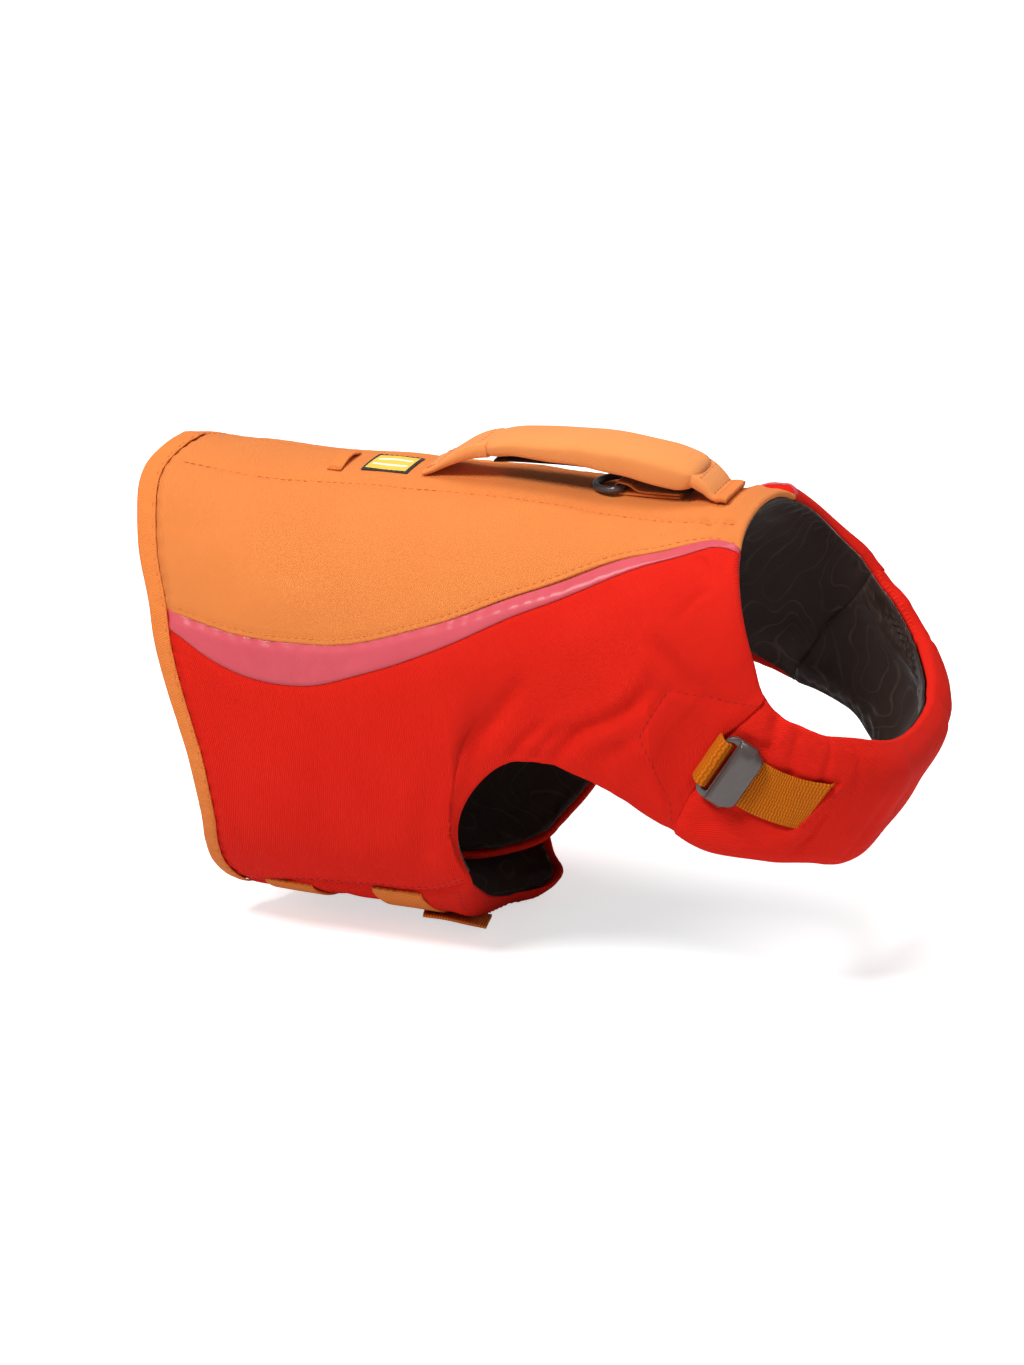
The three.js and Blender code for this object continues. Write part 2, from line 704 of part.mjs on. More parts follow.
// Strips of webbing: stops along a path, each with its spot, its outward and its own lift.
function strip(name, colour, spots, width, thickness, flip = false) {
  const centres = spots.map((s) => s.at);
  const sections = spots.map((s, i) => {
    const before = centres[Math.max(i - 1, 0)];
    const after = centres[Math.min(i + 1, centres.length - 1)];
    const along = after.clone().sub(before).normalize();
    const across = (s.across ?? s.normal.clone().cross(along)).clone().normalize();
    const up = along.clone().cross(across).normalize();
    const half = (s.width ?? width) / 2;
    const corner = (a, u) => s.at.clone().addScaledVector(across, a).addScaledVector(up, u);
    return [corner(-half, 0), corner(half, 0), corner(half, thickness), corner(-half, thickness)];
  });
  return sweep(name, colour, sections, flip);
}

function onSkin(x, turn, lift) {
  return { at: lifted(x, turn, lift), normal: outward(x, turn) };
}

function bellyTop(x, turn) {
  return read(BELLY_LIFT, 'turn', turn, 'lift');
}

const STRAP_SEAT = 0.5;

// Belly straps: sewn in at the right belly seam, under the belly and up to a buckle on the left.
function bellyStrap(name, x) {
  const turns = [0.815, 0.86, 0.905, 0.95, 1, 1.05, 1.1, 1.15, 1.2, 1.25, 1.3, 1.35, 1.385];
  const spots = turns.map((turn) => onSkin(x, -turn, bellyTop(x, turn) + STRAP_SEAT));
  spots.push(onSkin(x, -1.405, 6.6), onSkin(x, -1.4235, 4.8));
  strip(name, COLOURS.webbing, spots, WEBBING_WIDTH, WEBBING_WALL, false);
}

const REAR_STRAP_X = -150;
const FRONT_STRAP_X = -80;
bellyStrap('rear_belly_strap', REAR_STRAP_X);
bellyStrap('front_belly_strap', FRONT_STRAP_X);

// The loose end of the front strap, running forward under the belly.
const TAIL = table(['x', 'turn', 'lift'], [
  [-82, -0.9, 2.8], [-73, -0.91, 2.9], [-64, -0.922, 3.4], [-52, -0.935, 4.7],
]);
strip(
  'front_strap_tail',
  COLOURS.webbing,
  TAIL.map((row) => onSkin(row.x, row.turn, row.lift)),
  WEBBING_WIDTH,
  WEBBING_WALL,
);

function roundedShape(length, width, radius) {
  const x = length / 2;
  const y = width / 2;
  const shape = new THREE.Shape();
  shape.moveTo(-x + radius, -y);
  shape.lineTo(x - radius, -y);
  shape.quadraticCurveTo(x, -y, x, -y + radius);
  shape.lineTo(x, y - radius);
  shape.quadraticCurveTo(x, y, x - radius, y);
  shape.lineTo(-x + radius, y);
  shape.quadraticCurveTo(-x, y, -x, y - radius);
  shape.lineTo(-x, -y + radius);
  shape.quadraticCurveTo(-x, -y, -x + radius, -y);
  return shape;
}

function slot(along, length, width) {
  const path = new THREE.Path();
  path.moveTo(along - length / 2, -width / 2);
  path.lineTo(along - length / 2, width / 2);
  path.lineTo(along + length / 2, width / 2);
  path.lineTo(along + length / 2, -width / 2);
  path.closePath();
  return path;
}

// A bevelled plate lying on the garment: its underside at the spot, its length along the given way.
function plate(name, shape, thickness, spot, towards, bevel = 0.8) {
  const geometry = new THREE.ExtrudeGeometry(shape, {
    depth: thickness - 2 * bevel,
    bevelThickness: bevel,
    bevelSize: bevel,
    bevelOffset: -bevel,
    bevelSegments: 1,
    curveSegments: 3,
  });
  geometry.translate(0, 0, bevel);
  const normal = spot.normal.clone().normalize();
  const along = towards.clone().sub(spot.at);
  along.addScaledVector(normal, -along.dot(normal)).normalize();
  const across = normal.clone().cross(along);
  geometry.applyMatrix4(new THREE.Matrix4().makeBasis(along, across, normal).setPosition(spot.at));
  const mesh = new THREE.Mesh(
    geometry,
    new THREE.MeshStandardMaterial({ color: COLOURS.hard, roughness: 0.45, metalness: 0 }),
  );
  mesh.name = name;
  group.add(mesh);
}

// Fastened side-release buckles on the left panel, each with a stub of webbing above it.
const SOCKET = { length: 22, width: 33, thickness: 7.5, turn: 0.502 };
const PLUG = { length: 11, width: 31, thickness: 6, turn: 0.558 };
const STUB_TURNS = [0.432, 0.45, 0.461];

function buckle(name, x) {
  const above = skin(x, 0.3);
  const socket = onSkin(x, SOCKET.turn, 0.2);
  const plug = onSkin(x, PLUG.turn, 1.2);
  const socketShape = roundedShape(SOCKET.length, SOCKET.width, 5);
  const plugShape = roundedShape(PLUG.length, PLUG.width, 3);
  plate(`${name}_buckle_socket`, socketShape, SOCKET.thickness, socket, above);
  plate(`${name}_buckle_plug`, plugShape, PLUG.thickness, plug, above);
  const lifts = [-0.4, 0.4, 1.6];
  const spots = STUB_TURNS.map((turn, i) => onSkin(x, turn, lifts[i]));
  strip(`${name}_buckle_stub`, COLOURS.webbing, spots, WEBBING_WIDTH, WEBBING_WALL);
}

buckle('rear', REAR_STRAP_X);
buckle('front', FRONT_STRAP_X);

// Neck adjusters: webbing out from under the chest flap, a slider, and webbing into a chest slot.
const NECK_SHORT = table(['x', 'turn', 'lift'], [[61.8, 0.52, 0.6], [63, 0.529, 0.6], [63.9, 0.536, 0.9]]);
const NECK_LONG = table(['x', 'turn', 'lift'], [
  [64.6, 0.542, 0.6], [66.4, 0.556, 0.6], [69, 0.578, 0.6], [71.6, 0.604, 0.6], [74, 0.64, 0.6],
]);
const SLIDER = { length: 20, width: 33, thickness: 4, x: 66, turn: 0.552, lift: 3 };

function neckStrap(name, side) {
  const place = (rows) => rows.map((row) => onSkin(row.x, side * row.turn, row.lift));
  strip(`${name}_neck_webbing_short`, COLOURS.webbing, place(NECK_SHORT), WEBBING_WIDTH, WEBBING_WALL);
  strip(`${name}_neck_webbing_long`, COLOURS.webbing, place(NECK_LONG), WEBBING_WIDTH, WEBBING_WALL);
  const shape = roundedShape(SLIDER.length, SLIDER.width, 4);
  shape.holes.push(slot(-SLIDER.length / 4, 4.4, WEBBING_WIDTH + 1.5));
  const spot = onSkin(SLIDER.x, side * SLIDER.turn, SLIDER.lift);
  plate(`${name}_neck_slider`, shape, SLIDER.thickness, spot, skin(74, side * 0.64), 0.7);
}

neckStrap('right', -1);
neckStrap('left', 1);

// Webbing bent in the upright plane through the spine: a path of x and z, the middle of the webbing.
function upright(name, colour, path, width, thickness) {
  const points = path.map(([x, z]) => new THREE.Vector2(x, z));
  const sections = points.map((p, i) => {
    const before = points[Math.max(i - 1, 0)];
    const after = points[Math.min(i + 1, points.length - 1)];
    const along = after.clone().sub(before).normalize();
    const up = new THREE.Vector2(-along.y, along.x).multiplyScalar(thickness / 2);
    const corner = (sign, y) => new THREE.Vector3(p.x + sign * up.x, y, p.y + sign * up.y);
    return [corner(-1, width / 2), corner(-1, -width / 2), corner(1, -width / 2), corner(1, width / 2)];
  });
  return sweep(name, colour, sections, true);
}

const spineZ = (x) => read(RINGS, 'x', x, 'spineZ');
const HANDLE_WIDTH = 26;
const HANDLE_WEBBING = 2.6;

// Grip: a padded roll over the spine, its middle line, half width and half depth.
const GRIP = table(['x', 'z', 'half', 'deep'], [
  [-47, 25.2, 12, 4], [-43, 26.5, 12.8, 4.8], [-34, 28.3, 13.4, 5.3], [-18, 29.8, 13.6, 5.5],
  [2, 30.2, 13.6, 5.5], [20, 29.5, 13.6, 5.5], [36, 27.8, 13.4, 5.4], [46, 25.8, 13, 5.2],
  [51, 24.2, 12.6, 4.8], [54, 22.9, 12, 4],
]);
const GRIP_POINTS = 12;

function gripSection(row, i) {
  const before = GRIP[Math.max(i - 1, 0)];
  const after = GRIP[Math.min(i + 1, GRIP.length - 1)];
  const along = new THREE.Vector3(after.x - before.x, 0, after.z - before.z).normalize();
  const up = new THREE.Vector3(-along.z, 0, along.x);
  return Array.from({ length: GRIP_POINTS }, (_, k) => {
    const angle = (2 * Math.PI * k) / GRIP_POINTS;
    const c = Math.cos(angle);
    const s = Math.sin(angle);
    const y = row.half * Math.sign(c) * Math.abs(c) ** 0.75;
    const u = row.deep * Math.sign(s) * Math.abs(s) ** 0.75;
    return new THREE.Vector3(row.x, y, row.z).addScaledVector(up, u);
  });
}

sweep('handle_grip', COLOURS.orange, GRIP.map(gripSection));
upright(
  'handle_backing',
  COLOURS.lining,
  GRIP.slice(1, -1).map((row) => [row.x, row.z - row.deep - 1]),
  20,
  1.2,
);
upright('handle_rear_foot', COLOURS.orange, [
  [-76, spineZ(-76) + 1.8], [-69, spineZ(-69) + 2], [-63, 15.2], [-55, 20.6], [-50.5, 23.2], [-47.9, 24.4],
], HANDLE_WIDTH, HANDLE_WEBBING);
upright('handle_front_foot', COLOURS.orange, [
  [54.9, 21.9], [57, 20.3], [59.3, 18.2], [61.6, spineZ(61.6) + 2.6], [64.6, spineZ(64.6) + 1.9],
], HANDLE_WIDTH, HANDLE_WEBBING);
upright('handle_fold_bar', COLOURS.orange, [[65.2, spineZ(65.2) + 2.2], [69, spineZ(69) + 2.2]], 27, 3.2);

// Leash ring: a D of round wire whose straight bar turns in a fold of webbing under the handle.
const RING = { wire: 1.7, barX: 17.5, barHalf: 11.3, backX: 4, gap: 0.3 };
const KEEPER_WALL = 1.2;
const KEEPER_WIDTH = 17;
const keeperFloor = spineZ(RING.barX) + 0.4 + KEEPER_WALL / 2;
const keeperRadius = RING.wire + RING.gap + KEEPER_WALL / 2;
const barZ = keeperFloor + keeperRadius;
const ringBackZ = spineZ(RING.backX) + RING.wire + 0.5;
const RING_STOPS = 24;
const RING_SIDES = 8;

function ringPath() {
  const outline = new THREE.Path();
  const corner = 3;
  outline.moveTo(RING.barX, 0);
  outline.lineTo(RING.barX, RING.barHalf - corner);
  outline.quadraticCurveTo(RING.barX, RING.barHalf, RING.barX - corner, RING.barHalf);
  outline.quadraticCurveTo(RING.backX + 1, RING.barHalf, RING.backX, 0);
  outline.quadraticCurveTo(RING.backX + 1, -RING.barHalf, RING.barX - corner, -RING.barHalf);
  outline.quadraticCurveTo(RING.barX, -RING.barHalf, RING.barX, -RING.barHalf + corner);
  outline.lineTo(RING.barX, 0);
  return outline.getSpacedPoints(RING_STOPS).slice(0, -1);
}

function ringSections() {
  const stopsRound = ringPath().map((p) => {
    const share = (RING.barX - p.x) / (RING.barX - RING.backX);
    return new THREE.Vector3(p.x, p.y, barZ + (ringBackZ - barZ) * share);
  });
  const up = new THREE.Vector3(0, 0, 1);
  return stopsRound.map((p, i) => {
    const before = stopsRound[(i + RING_STOPS - 1) % RING_STOPS];
    const after = stopsRound[(i + 1) % RING_STOPS];
    const along = after.clone().sub(before).normalize();
    const side = along.clone().cross(up).normalize();
    const lift = side.clone().cross(along);
    return Array.from({ length: RING_SIDES }, (_, k) => {
      const angle = (2 * Math.PI * k) / RING_SIDES;
      return p.clone()
        .addScaledVector(side, RING.wire * Math.cos(angle))
        .addScaledVector(lift, RING.wire * Math.sin(angle));
    });
  });
}

sweep('leash_ring', COLOURS.hard, ringSections(), true, 0.4, 0.6, true);

const keeperRest = (x) => spineZ(x) + 0.5 + KEEPER_WALL / 2;
const keeperPath = [
  [46, keeperRest(46)], [34, keeperRest(34)], [24, keeperRest(24)], [RING.barX, keeperFloor],
];
for (let i = 1; i <= 6; i += 1) {
  const angle = -Math.PI / 2 - (Math.PI * i) / 6;
  keeperPath.push([
    RING.barX + keeperRadius * Math.cos(angle),
    barZ + keeperRadius * Math.sin(angle),
  ]);
}
keeperPath.push(
  [21.5, barZ + 1.9], [26, keeperRest(26) + 1.9], [34, keeperRest(34) + 1.6], [46, keeperRest(46) + 1.6],
);
upright('ring_keeper', COLOURS.orange, keeperPath, KEEPER_WIDTH, KEEPER_WALL);

// Small loop for a light, and a plain sewn label.
const LOOP = table(['turn', 'lift'], [
  [-0.044, 0.5], [-0.03, 0.9], [-0.012, 1.6], [0.006, 1.6], [0.02, 0.9], [0.03, 0.5],
]);
strip(
  'light_loop',
  COLOURS.orange,
  LOOP.map((row) => onSkin(-120, row.turn, row.lift)),
  6,
  1.2,
);

function labelGrid(lift) {
  return [-108, -100, -92, -85].map((x) => (
    [-0.034, -0.018, 0, 0.018, 0.033].map((turn) => lifted(x, turn, lift))
  ));
}

wall('label', COLOURS.label, labelGrid(1.3), labelGrid(0.5), labelGrid(0));

export default group;
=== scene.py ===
import math

import bpy
import numpy as np
from mathutils import Matrix, Vector, kdtree


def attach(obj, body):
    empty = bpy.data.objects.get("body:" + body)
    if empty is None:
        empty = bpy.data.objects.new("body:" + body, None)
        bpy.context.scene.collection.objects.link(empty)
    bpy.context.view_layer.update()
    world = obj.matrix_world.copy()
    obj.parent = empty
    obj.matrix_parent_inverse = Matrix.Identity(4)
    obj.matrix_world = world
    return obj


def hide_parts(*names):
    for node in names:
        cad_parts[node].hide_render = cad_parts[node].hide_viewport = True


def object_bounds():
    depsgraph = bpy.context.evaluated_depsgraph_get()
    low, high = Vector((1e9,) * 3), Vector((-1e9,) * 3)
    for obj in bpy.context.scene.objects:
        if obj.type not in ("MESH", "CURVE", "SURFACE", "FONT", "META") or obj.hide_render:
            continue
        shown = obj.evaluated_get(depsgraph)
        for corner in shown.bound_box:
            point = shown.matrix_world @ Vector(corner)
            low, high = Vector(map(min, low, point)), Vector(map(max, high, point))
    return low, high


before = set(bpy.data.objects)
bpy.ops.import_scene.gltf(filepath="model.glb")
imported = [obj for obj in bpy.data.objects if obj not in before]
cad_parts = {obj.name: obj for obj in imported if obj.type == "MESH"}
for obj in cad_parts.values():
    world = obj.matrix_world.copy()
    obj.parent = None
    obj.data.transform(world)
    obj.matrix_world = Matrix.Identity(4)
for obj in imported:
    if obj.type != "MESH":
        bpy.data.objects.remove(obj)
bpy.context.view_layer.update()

MM = 0.001
FULL_TURN = 6.283
FAR_AWAY = 1e3

# Camera and light.

AZIMUTH = math.radians(21)
ELEVATION = math.radians(21)
PIXELS_PER_MM = 2.2
ORIGIN_PIXEL = (590, 508.6)
DISTANCE = 2400
PICTURE_SIZE = (1024, 1365)
SENSOR_HEIGHT = 36


def look_at_jacket():
    right = Vector((math.cos(AZIMUTH), math.sin(AZIMUTH), 0))
    back = Vector((
        math.sin(AZIMUTH) * math.cos(ELEVATION),
        -math.cos(AZIMUTH) * math.cos(ELEVATION),
        math.sin(ELEVATION),
    ))
    up = back.cross(right)
    middle = right * ((PICTURE_SIZE[0] / 2 - ORIGIN_PIXEL[0]) / PIXELS_PER_MM)
    middle -= up * ((PICTURE_SIZE[1] / 2 - ORIGIN_PIXEL[1]) / PIXELS_PER_MM)
    data = bpy.data.cameras.new("camera")
    data.sensor_fit = "VERTICAL"
    data.sensor_height = SENSOR_HEIGHT
    data.lens = DISTANCE * PIXELS_PER_MM * SENSOR_HEIGHT / PICTURE_SIZE[1]
    camera = bpy.data.objects.new("camera", data)
    turn = Matrix((right, up, back)).transposed()
    camera.matrix_world = Matrix.Translation((middle + back * DISTANCE) * MM) @ turn.to_4x4()
    bpy.context.scene.collection.objects.link(camera)
    bpy.context.scene.camera = camera


look_at_jacket()
JACKET_MIDDLE = Vector((0, 0, -0.08))


def soft_light(name, place, size, power):
    data = bpy.data.lights.new(name, "AREA")
    data.shape = "DISK"
    data.size = size
    data.energy = power
    light = bpy.data.objects.new(name, data)
    light.location = place
    light.rotation_mode = "QUATERNION"
    light.rotation_quaternion = (Vector(place) - JACKET_MIDDLE).to_track_quat("Z", "Y")
    bpy.context.scene.collection.objects.link(light)


soft_light("key_light", (-0.55, -1.35, 2.15), 0.8, 58)
soft_light("top_light", (0.2, 0.4, 2.2), 1.2, 26)
soft_light("front_light", (2.0, -1.2, 0.9), 1.0, 2)
world = bpy.data.worlds.new("pale_studio")
world.use_nodes = True
sky = world.node_tree.nodes["Background"].inputs
sky["Color"].default_value = (1, 1, 1, 1)
sky["Strength"].default_value = 0.3
bpy.context.scene.world = world
bpy.context.scene.view_settings.view_transform = "Standard"

# Materials.


class Tree:
    """Adds nodes to a node tree and links them."""

    def __init__(self, tree):
        self.tree = tree

    def add(self, kind, settings=None, **inputs):
        node = self.tree.nodes.new(kind)
        for key, value in (settings or {}).items():
            setattr(node, key, value)
        for key, value in inputs.items():
            name = key.replace("_", " ")
            socket = node.inputs[int(key[1:])] if key[1:].isdigit() and key[0] == "i" else node.inputs[name]
            if isinstance(value, bpy.types.NodeSocket):
                self.tree.links.new(value, socket)
            else:
                socket.default_value = value
        return node

    def math(self, operation, a, b=0.0, c=0.0):
        return self.add("ShaderNodeMath", {"operation": operation}, i0=a, i1=b, i2=c).outputs[0]

    def times(self, a, b):
        return self.math("MULTIPLY", a, b)

    def over(self, a, b):
        return self.math("DIVIDE", a, b)

    def plus(self, a, b):
        return self.math("ADD", a, b)

    def scaled(self, a, factor, more):
        return self.math("MULTIPLY_ADD", a, factor, more)

    def ripple(self, turns):
        return self.scaled(self.math("SINE", self.times(turns, 2 * math.pi)), 0.5, 0.5)

    def shaded(self, colour, value):
        return self.add("ShaderNodeHueSaturation", None, Color=colour, Value=value).outputs[0]

    def mix(self, share, a, b):
        node = self.add("ShaderNodeMix", {"data_type": "RGBA"}, i0=share, i6=a, i7=b)
        return node.outputs[2]

    def noise(self, place, scale, detail=2.0, roughness=0.5):
        node = self.add("ShaderNodeTexNoise", None, Vector=place, Scale=scale, Detail=detail,
                        Roughness=roughness)
        return node.outputs["Fac"]

    def ramp(self, value, low, high, start=0.0, end=1.0):
        node = self.add("ShaderNodeMapRange", {"interpolation_type": "SMOOTHSTEP"}, Value=value,
                        From_Min=low, From_Max=high, To_Min=start, To_Max=end)
        return node.outputs[0]


def new_group(name, inputs):
    """A node group that takes a place and the inputs, and what it needs to be filled in."""
    group = bpy.data.node_groups.new(name, "ShaderNodeTree")
    for label, value in (("Place", None), *inputs.items()):
        kind = "Vector" if value is None else "Color" if isinstance(value, tuple) else "Float"
        socket = group.interface.new_socket(label, in_out="INPUT", socket_type="NodeSocket" + kind)
        if value is not None:
            socket.default_value = value
    for label, kind in (("Color", "Color"), ("Height", "Float"), ("Roughness", "Float")):
        group.interface.new_socket(label, in_out="OUTPUT", socket_type="NodeSocket" + kind)
    tree = Tree(group)
    return tree, tree.add("NodeGroupInput").outputs


def closed_group(tree, colour, height, roughness):
    tree.add("NodeGroupOutput", None, Color=colour, Height=height, Roughness=roughness)
    return tree.tree


def twill_group():
    t, given = new_group(
        "twill_weave", {"Cloth": (0.8, 0.8, 0.8, 1), "Pitch": 0.0009, "Depth": 0.16, "Fade": 0.1})
    parts = t.add("ShaderNodeSeparateXYZ", None, Vector=given["Place"])
    u, v = parts.outputs[0], parts.outputs[1]
    wander = t.noise(given["Place"], 240.0, 2.0)
    slant = t.plus(u, t.times(v, 0.62))
    rib = t.ripple(t.plus(t.over(slant, given["Pitch"]), t.times(wander, 0.8)))
    pick = t.ripple(t.times(t.over(v, given["Pitch"]), 2.0))
    fibre = t.noise(given["Place"], 2600.0, 1.0)
    height = t.plus(t.plus(t.times(rib, 0.75), t.times(pick, 0.25)), t.times(fibre, 0.35))
    cloud = t.ramp(t.noise(given["Place"], 26.0, 3.0, 0.55), 0.3, 0.7)
    # Painted shade: the cloth's colour is darkened in the weave's low grooves, by the amount given for the
    # grooves' shade.
    shade = t.math("SUBTRACT", 1.0, t.times(t.math("SUBTRACT", 1.0, rib), given["Depth"]))
    dark = t.mix(1.0, given["Cloth"], given["Cloth"])
    dark.node.blend_type = "MULTIPLY"
    cloth = t.mix(t.times(cloud, given["Fade"]), given["Cloth"], dark)
    return closed_group(t, t.shaded(cloth, shade), height, t.scaled(fibre, 0.2, 0.7))


def webbing_group():
    t, given = new_group("ribbed_webbing", {"Yarn": (0.8, 0.8, 0.8, 1), "Rib": 0.00125, "Column": 0.0017})
    parts = t.add("ShaderNodeSeparateXYZ", None, Vector=given["Place"])
    along_rib, across_rib = parts.outputs[0], parts.outputs[1]
    columns = t.over(across_rib, given["Column"])
    stagger = t.times(t.math("MODULO", t.math("FLOOR", columns), 2.0), 0.18)
    rib = t.math("POWER", t.ripple(t.plus(t.over(along_rib, given["Rib"]), stagger)), 0.6)
    row = t.ripple(columns)
    fibre = t.noise(given["Place"], 2200.0, 2.0)
    height = t.plus(t.plus(t.times(rib, 0.8), t.times(row, 0.25)), t.times(fibre, 0.2))
    # Painted shade: the yarn's colour is darkened in the rib grooves and between the columns.
    shade = t.scaled(t.times(rib, t.scaled(row, 0.3, 0.7)), 0.5, 0.55)
    return closed_group(t, t.shaded(given["Yarn"], shade), height, t.scaled(fibre, 0.25, 0.6))


def print_group():
    t, given = new_group(
        "waved_print", {"Ground": (0.03, 0.02, 0.015, 1), "Line": (0.06, 0.05, 0.04, 1), "Scale": 24.0})
    field = t.noise(given["Place"], given["Scale"], 1.5, 0.4)
    wave = t.math("PINGPONG", t.times(field, 11.0), 0.5)
    patchy = t.ramp(t.noise(given["Place"], 40.0, 2.0), 0.35, 0.65, 0.25, 1.0)
    line = t.times(t.ramp(wave, 0.02, 0.1, 1.0, 0.0), patchy)
    fibre = t.noise(given["Place"], 1500.0, 2.0)
    cloth = t.mix(line, given["Ground"], given["Line"])
    return closed_group(t, t.shaded(cloth, t.scaled(fibre, 0.3, 0.85)), fibre, t.scaled(line, -0.12, 0.62))


def grain_group():
    t, given = new_group("fine_grain", {"Tint": (0.1, 0.1, 0.1, 1), "Scale": 900.0, "Roughness": 0.45})
    pits = t.noise(given["Place"], given["Scale"], 3.0)
    rub = t.ramp(t.noise(given["Place"], 120.0, 3.0), 0.45, 0.75)
    rough = t.plus(given["Roughness"], t.scaled(pits, 0.16, -0.08))
    return closed_group(t, t.shaded(given["Tint"], t.scaled(rub, 0.25, 0.9)), pits, rough)


TWILL = twill_group()
WEBBING = webbing_group()
PRINT = print_group()
GRAIN = grain_group()


def finish_material(name, group, values, relief, sheen=0.0, coat=0.0, metal=0.0, own_map=True,
                    shine=0.14):
    material = bpy.data.materials.new(name)
    material.use_nodes = True
    t = Tree(material.node_tree)
    shader = material.node_tree.nodes["Principled BSDF"]
    if own_map:
        place = t.add("ShaderNodeUVMap", {"uv_map": "cut"}).outputs[0]
    else:
        place = t.add("ShaderNodeTexCoord").outputs["Object"]
    made = t.add("ShaderNodeGroup", {"node_tree": group}, Place=place)
    for key, value in values.items():
        made.inputs[key].default_value = value
    bump = t.add("ShaderNodeBump", None, Strength=1.0, Distance=relief, Height=made.outputs["Height"])
    t.tree.links.new(made.outputs["Color"], shader.inputs["Base Color"])
    t.tree.links.new(made.outputs["Roughness"], shader.inputs["Roughness"])
    t.tree.links.new(bump.outputs[0], shader.inputs["Normal"])
    for key, value in (("Sheen Weight", sheen), ("Sheen Roughness", 0.4), ("Coat Weight", coat),
                       ("Coat Roughness", 0.25), ("Metallic", metal), ("Specular IOR Level", shine)):
        shader.inputs[key].default_value = value
    return material


def rgb(red, green, blue):
    """A colour given in display values from 0 to 255."""
    linear = [((c / 255 + 0.055) / 1.055) ** 2.4 if c > 10 else c / 255 / 12.92
              for c in (red, green, blue)]
    return (*linear, 1)


# depth sets how far the painted shade darkens the weave's grooves.
def cloth_material(name, colour, relief, depth=0.12, fade=0.1, pitch=0.0009, **more):
    values = {"Cloth": rgb(*colour), "Depth": depth, "Fade": fade, "Pitch": pitch}
    return finish_material(name, TWILL, values, relief, **more)


def thread_material(name, colour, roughness=0.7):
    values = {"Tint": rgb(*colour), "Scale": 2600.0, "Roughness": roughness}
    return finish_material(name, GRAIN, values, 0.0001, sheen=0.1, own_map=False)


orange_twill = cloth_material("orange_twill", (224, 130, 65), 0.00016, fade=0.05, sheen=0.04)
# The handle's grip and feet use the orange twill painted lighter: a painted highlight for the light falling
# on the raised handle.
handle_twill_painted_highlight = cloth_material("handle_twill_painted_highlight", (238, 150, 84), 0.00016, fade=0.05, sheen=0.1)
orange_tape = cloth_material("orange_tape", (229, 130, 62), 0.00016, 0.14, 0.08, 0.0011, sheen=0.04)
red_twill = cloth_material("red_twill", (229, 36, 22), 0.0002, 0.26, 0.12, shine=0.07)
pink_band = cloth_material("smooth_pink", (202, 76, 88), 0.00003, 0.05, 0.15, 0.0007, coat=0.25, shine=0.4)
label_field = cloth_material("label_field", (236, 198, 78), 0.0001, pitch=0.0006, sheen=0.1)
label_border = cloth_material("label_border", (64, 56, 62), 0.0001, pitch=0.0006, sheen=0.1)
label_stripe = cloth_material("label_stripe", (240, 236, 222), 0.0001, 0.1, pitch=0.0006, sheen=0.1)
lining_print = finish_material(
    "dark_lining", PRINT, {"Ground": rgb(40, 20, 11), "Line": rgb(60, 44, 34)}, 0.00008, 0.2, shine=0.3)
handle_lining = finish_material(
    "handle_underside", PRINT, {"Ground": rgb(38, 26, 20), "Line": rgb(46, 34, 28), "Scale": 60.0},
    0.00008, 0.1)
webbing = finish_material("orange_webbing", WEBBING, {"Yarn": rgb(206, 107, 14)}, 0.0004, shine=0.08)
belly_webbing = finish_material("bright_webbing", WEBBING, {"Yarn": rgb(238, 134, 56)}, 0.0003)
plastic = finish_material(
    "warm_grey_plastic", GRAIN, {"Tint": rgb(70, 59, 56), "Roughness": 0.32}, 0.000004, own_map=False,
    shine=0.9)
coated_metal = finish_material(
    "coated_metal", GRAIN, {"Tint": rgb(88, 84, 86), "Scale": 500.0, "Roughness": 0.36}, 0.00003,
    coat=0.1, metal=0.6, own_map=False, shine=0.5)
orange_thread = thread_material("orange_thread", (222, 124, 58))
red_thread = thread_material("red_thread", (172, 26, 20))
dark_thread = thread_material("dark_thread", (58, 46, 42), 0.75)


def pale_floor():
    material = bpy.data.materials.new("pale_floor")
    material.use_nodes = True
    t = Tree(material.node_tree)
    shader = material.node_tree.nodes["Principled BSDF"]
    place = t.add("ShaderNodeTexCoord").outputs["Object"]
    grain = t.noise(place, 6.0, 3.0)
    colour = t.mix(grain, (0.86, 0.86, 0.86, 1), (0.84, 0.84, 0.84, 1))
    t.tree.links.new(colour, shader.inputs["Base Color"])
    shader.inputs["Roughness"].default_value = 0.9
    shader.inputs["Specular IOR Level"].default_value = 0.1
    shader.inputs["Emission Color"].default_value = (1, 1, 1, 1)
    seen = t.add("ShaderNodeLightPath").outputs["Is Camera Ray"]
    t.tree.links.new(t.math("MULTIPLY", seen, 0.6), shader.inputs["Emission Strength"])
    return material


# The garment's form: its rings, edges and lines, in millimetres.

GIRTH_HALF = 300
SEAM_GAP = 0.3
LINING_WALL = 0.9
EDGE_WALL = 3.2
EDGE_DROP = 1.6
BINDING_WIDTH = 9.5
BAND_WALL = 0.6

# x of the spine point, its z, x and z of the keel point, half width, scoop, and the two powers.
RINGS = np.array([
    [-203, 7, -160, -196, 87, 0, 2.15, 2.4],
    [-150, 8, -126, -197, 90, 0, 2.15, 2.4],
    [-90, 9.5, -78, -197, 90, 0, 2.15, 2.35],
    [-30, 11, -25, -197, 89, 0, 2.15, 2.35],
    [15, 11, 30, -194, 87, 0, 2.15, 2.4],
    [45, 12, 80, -180, 84, -2, 2.15, 2.5],
    [65, 14, 122, -157, 80, -5, 2.15, 2.6],
    [76, 15, 152, -127, 76, -8, 2.15, 2.7],
    [84, 15.5, 166, -98, 71, -12, 2.15, 2.7],
    [88, 16, 160, -79, 68, -15, 2.15, 2.7],
], float)

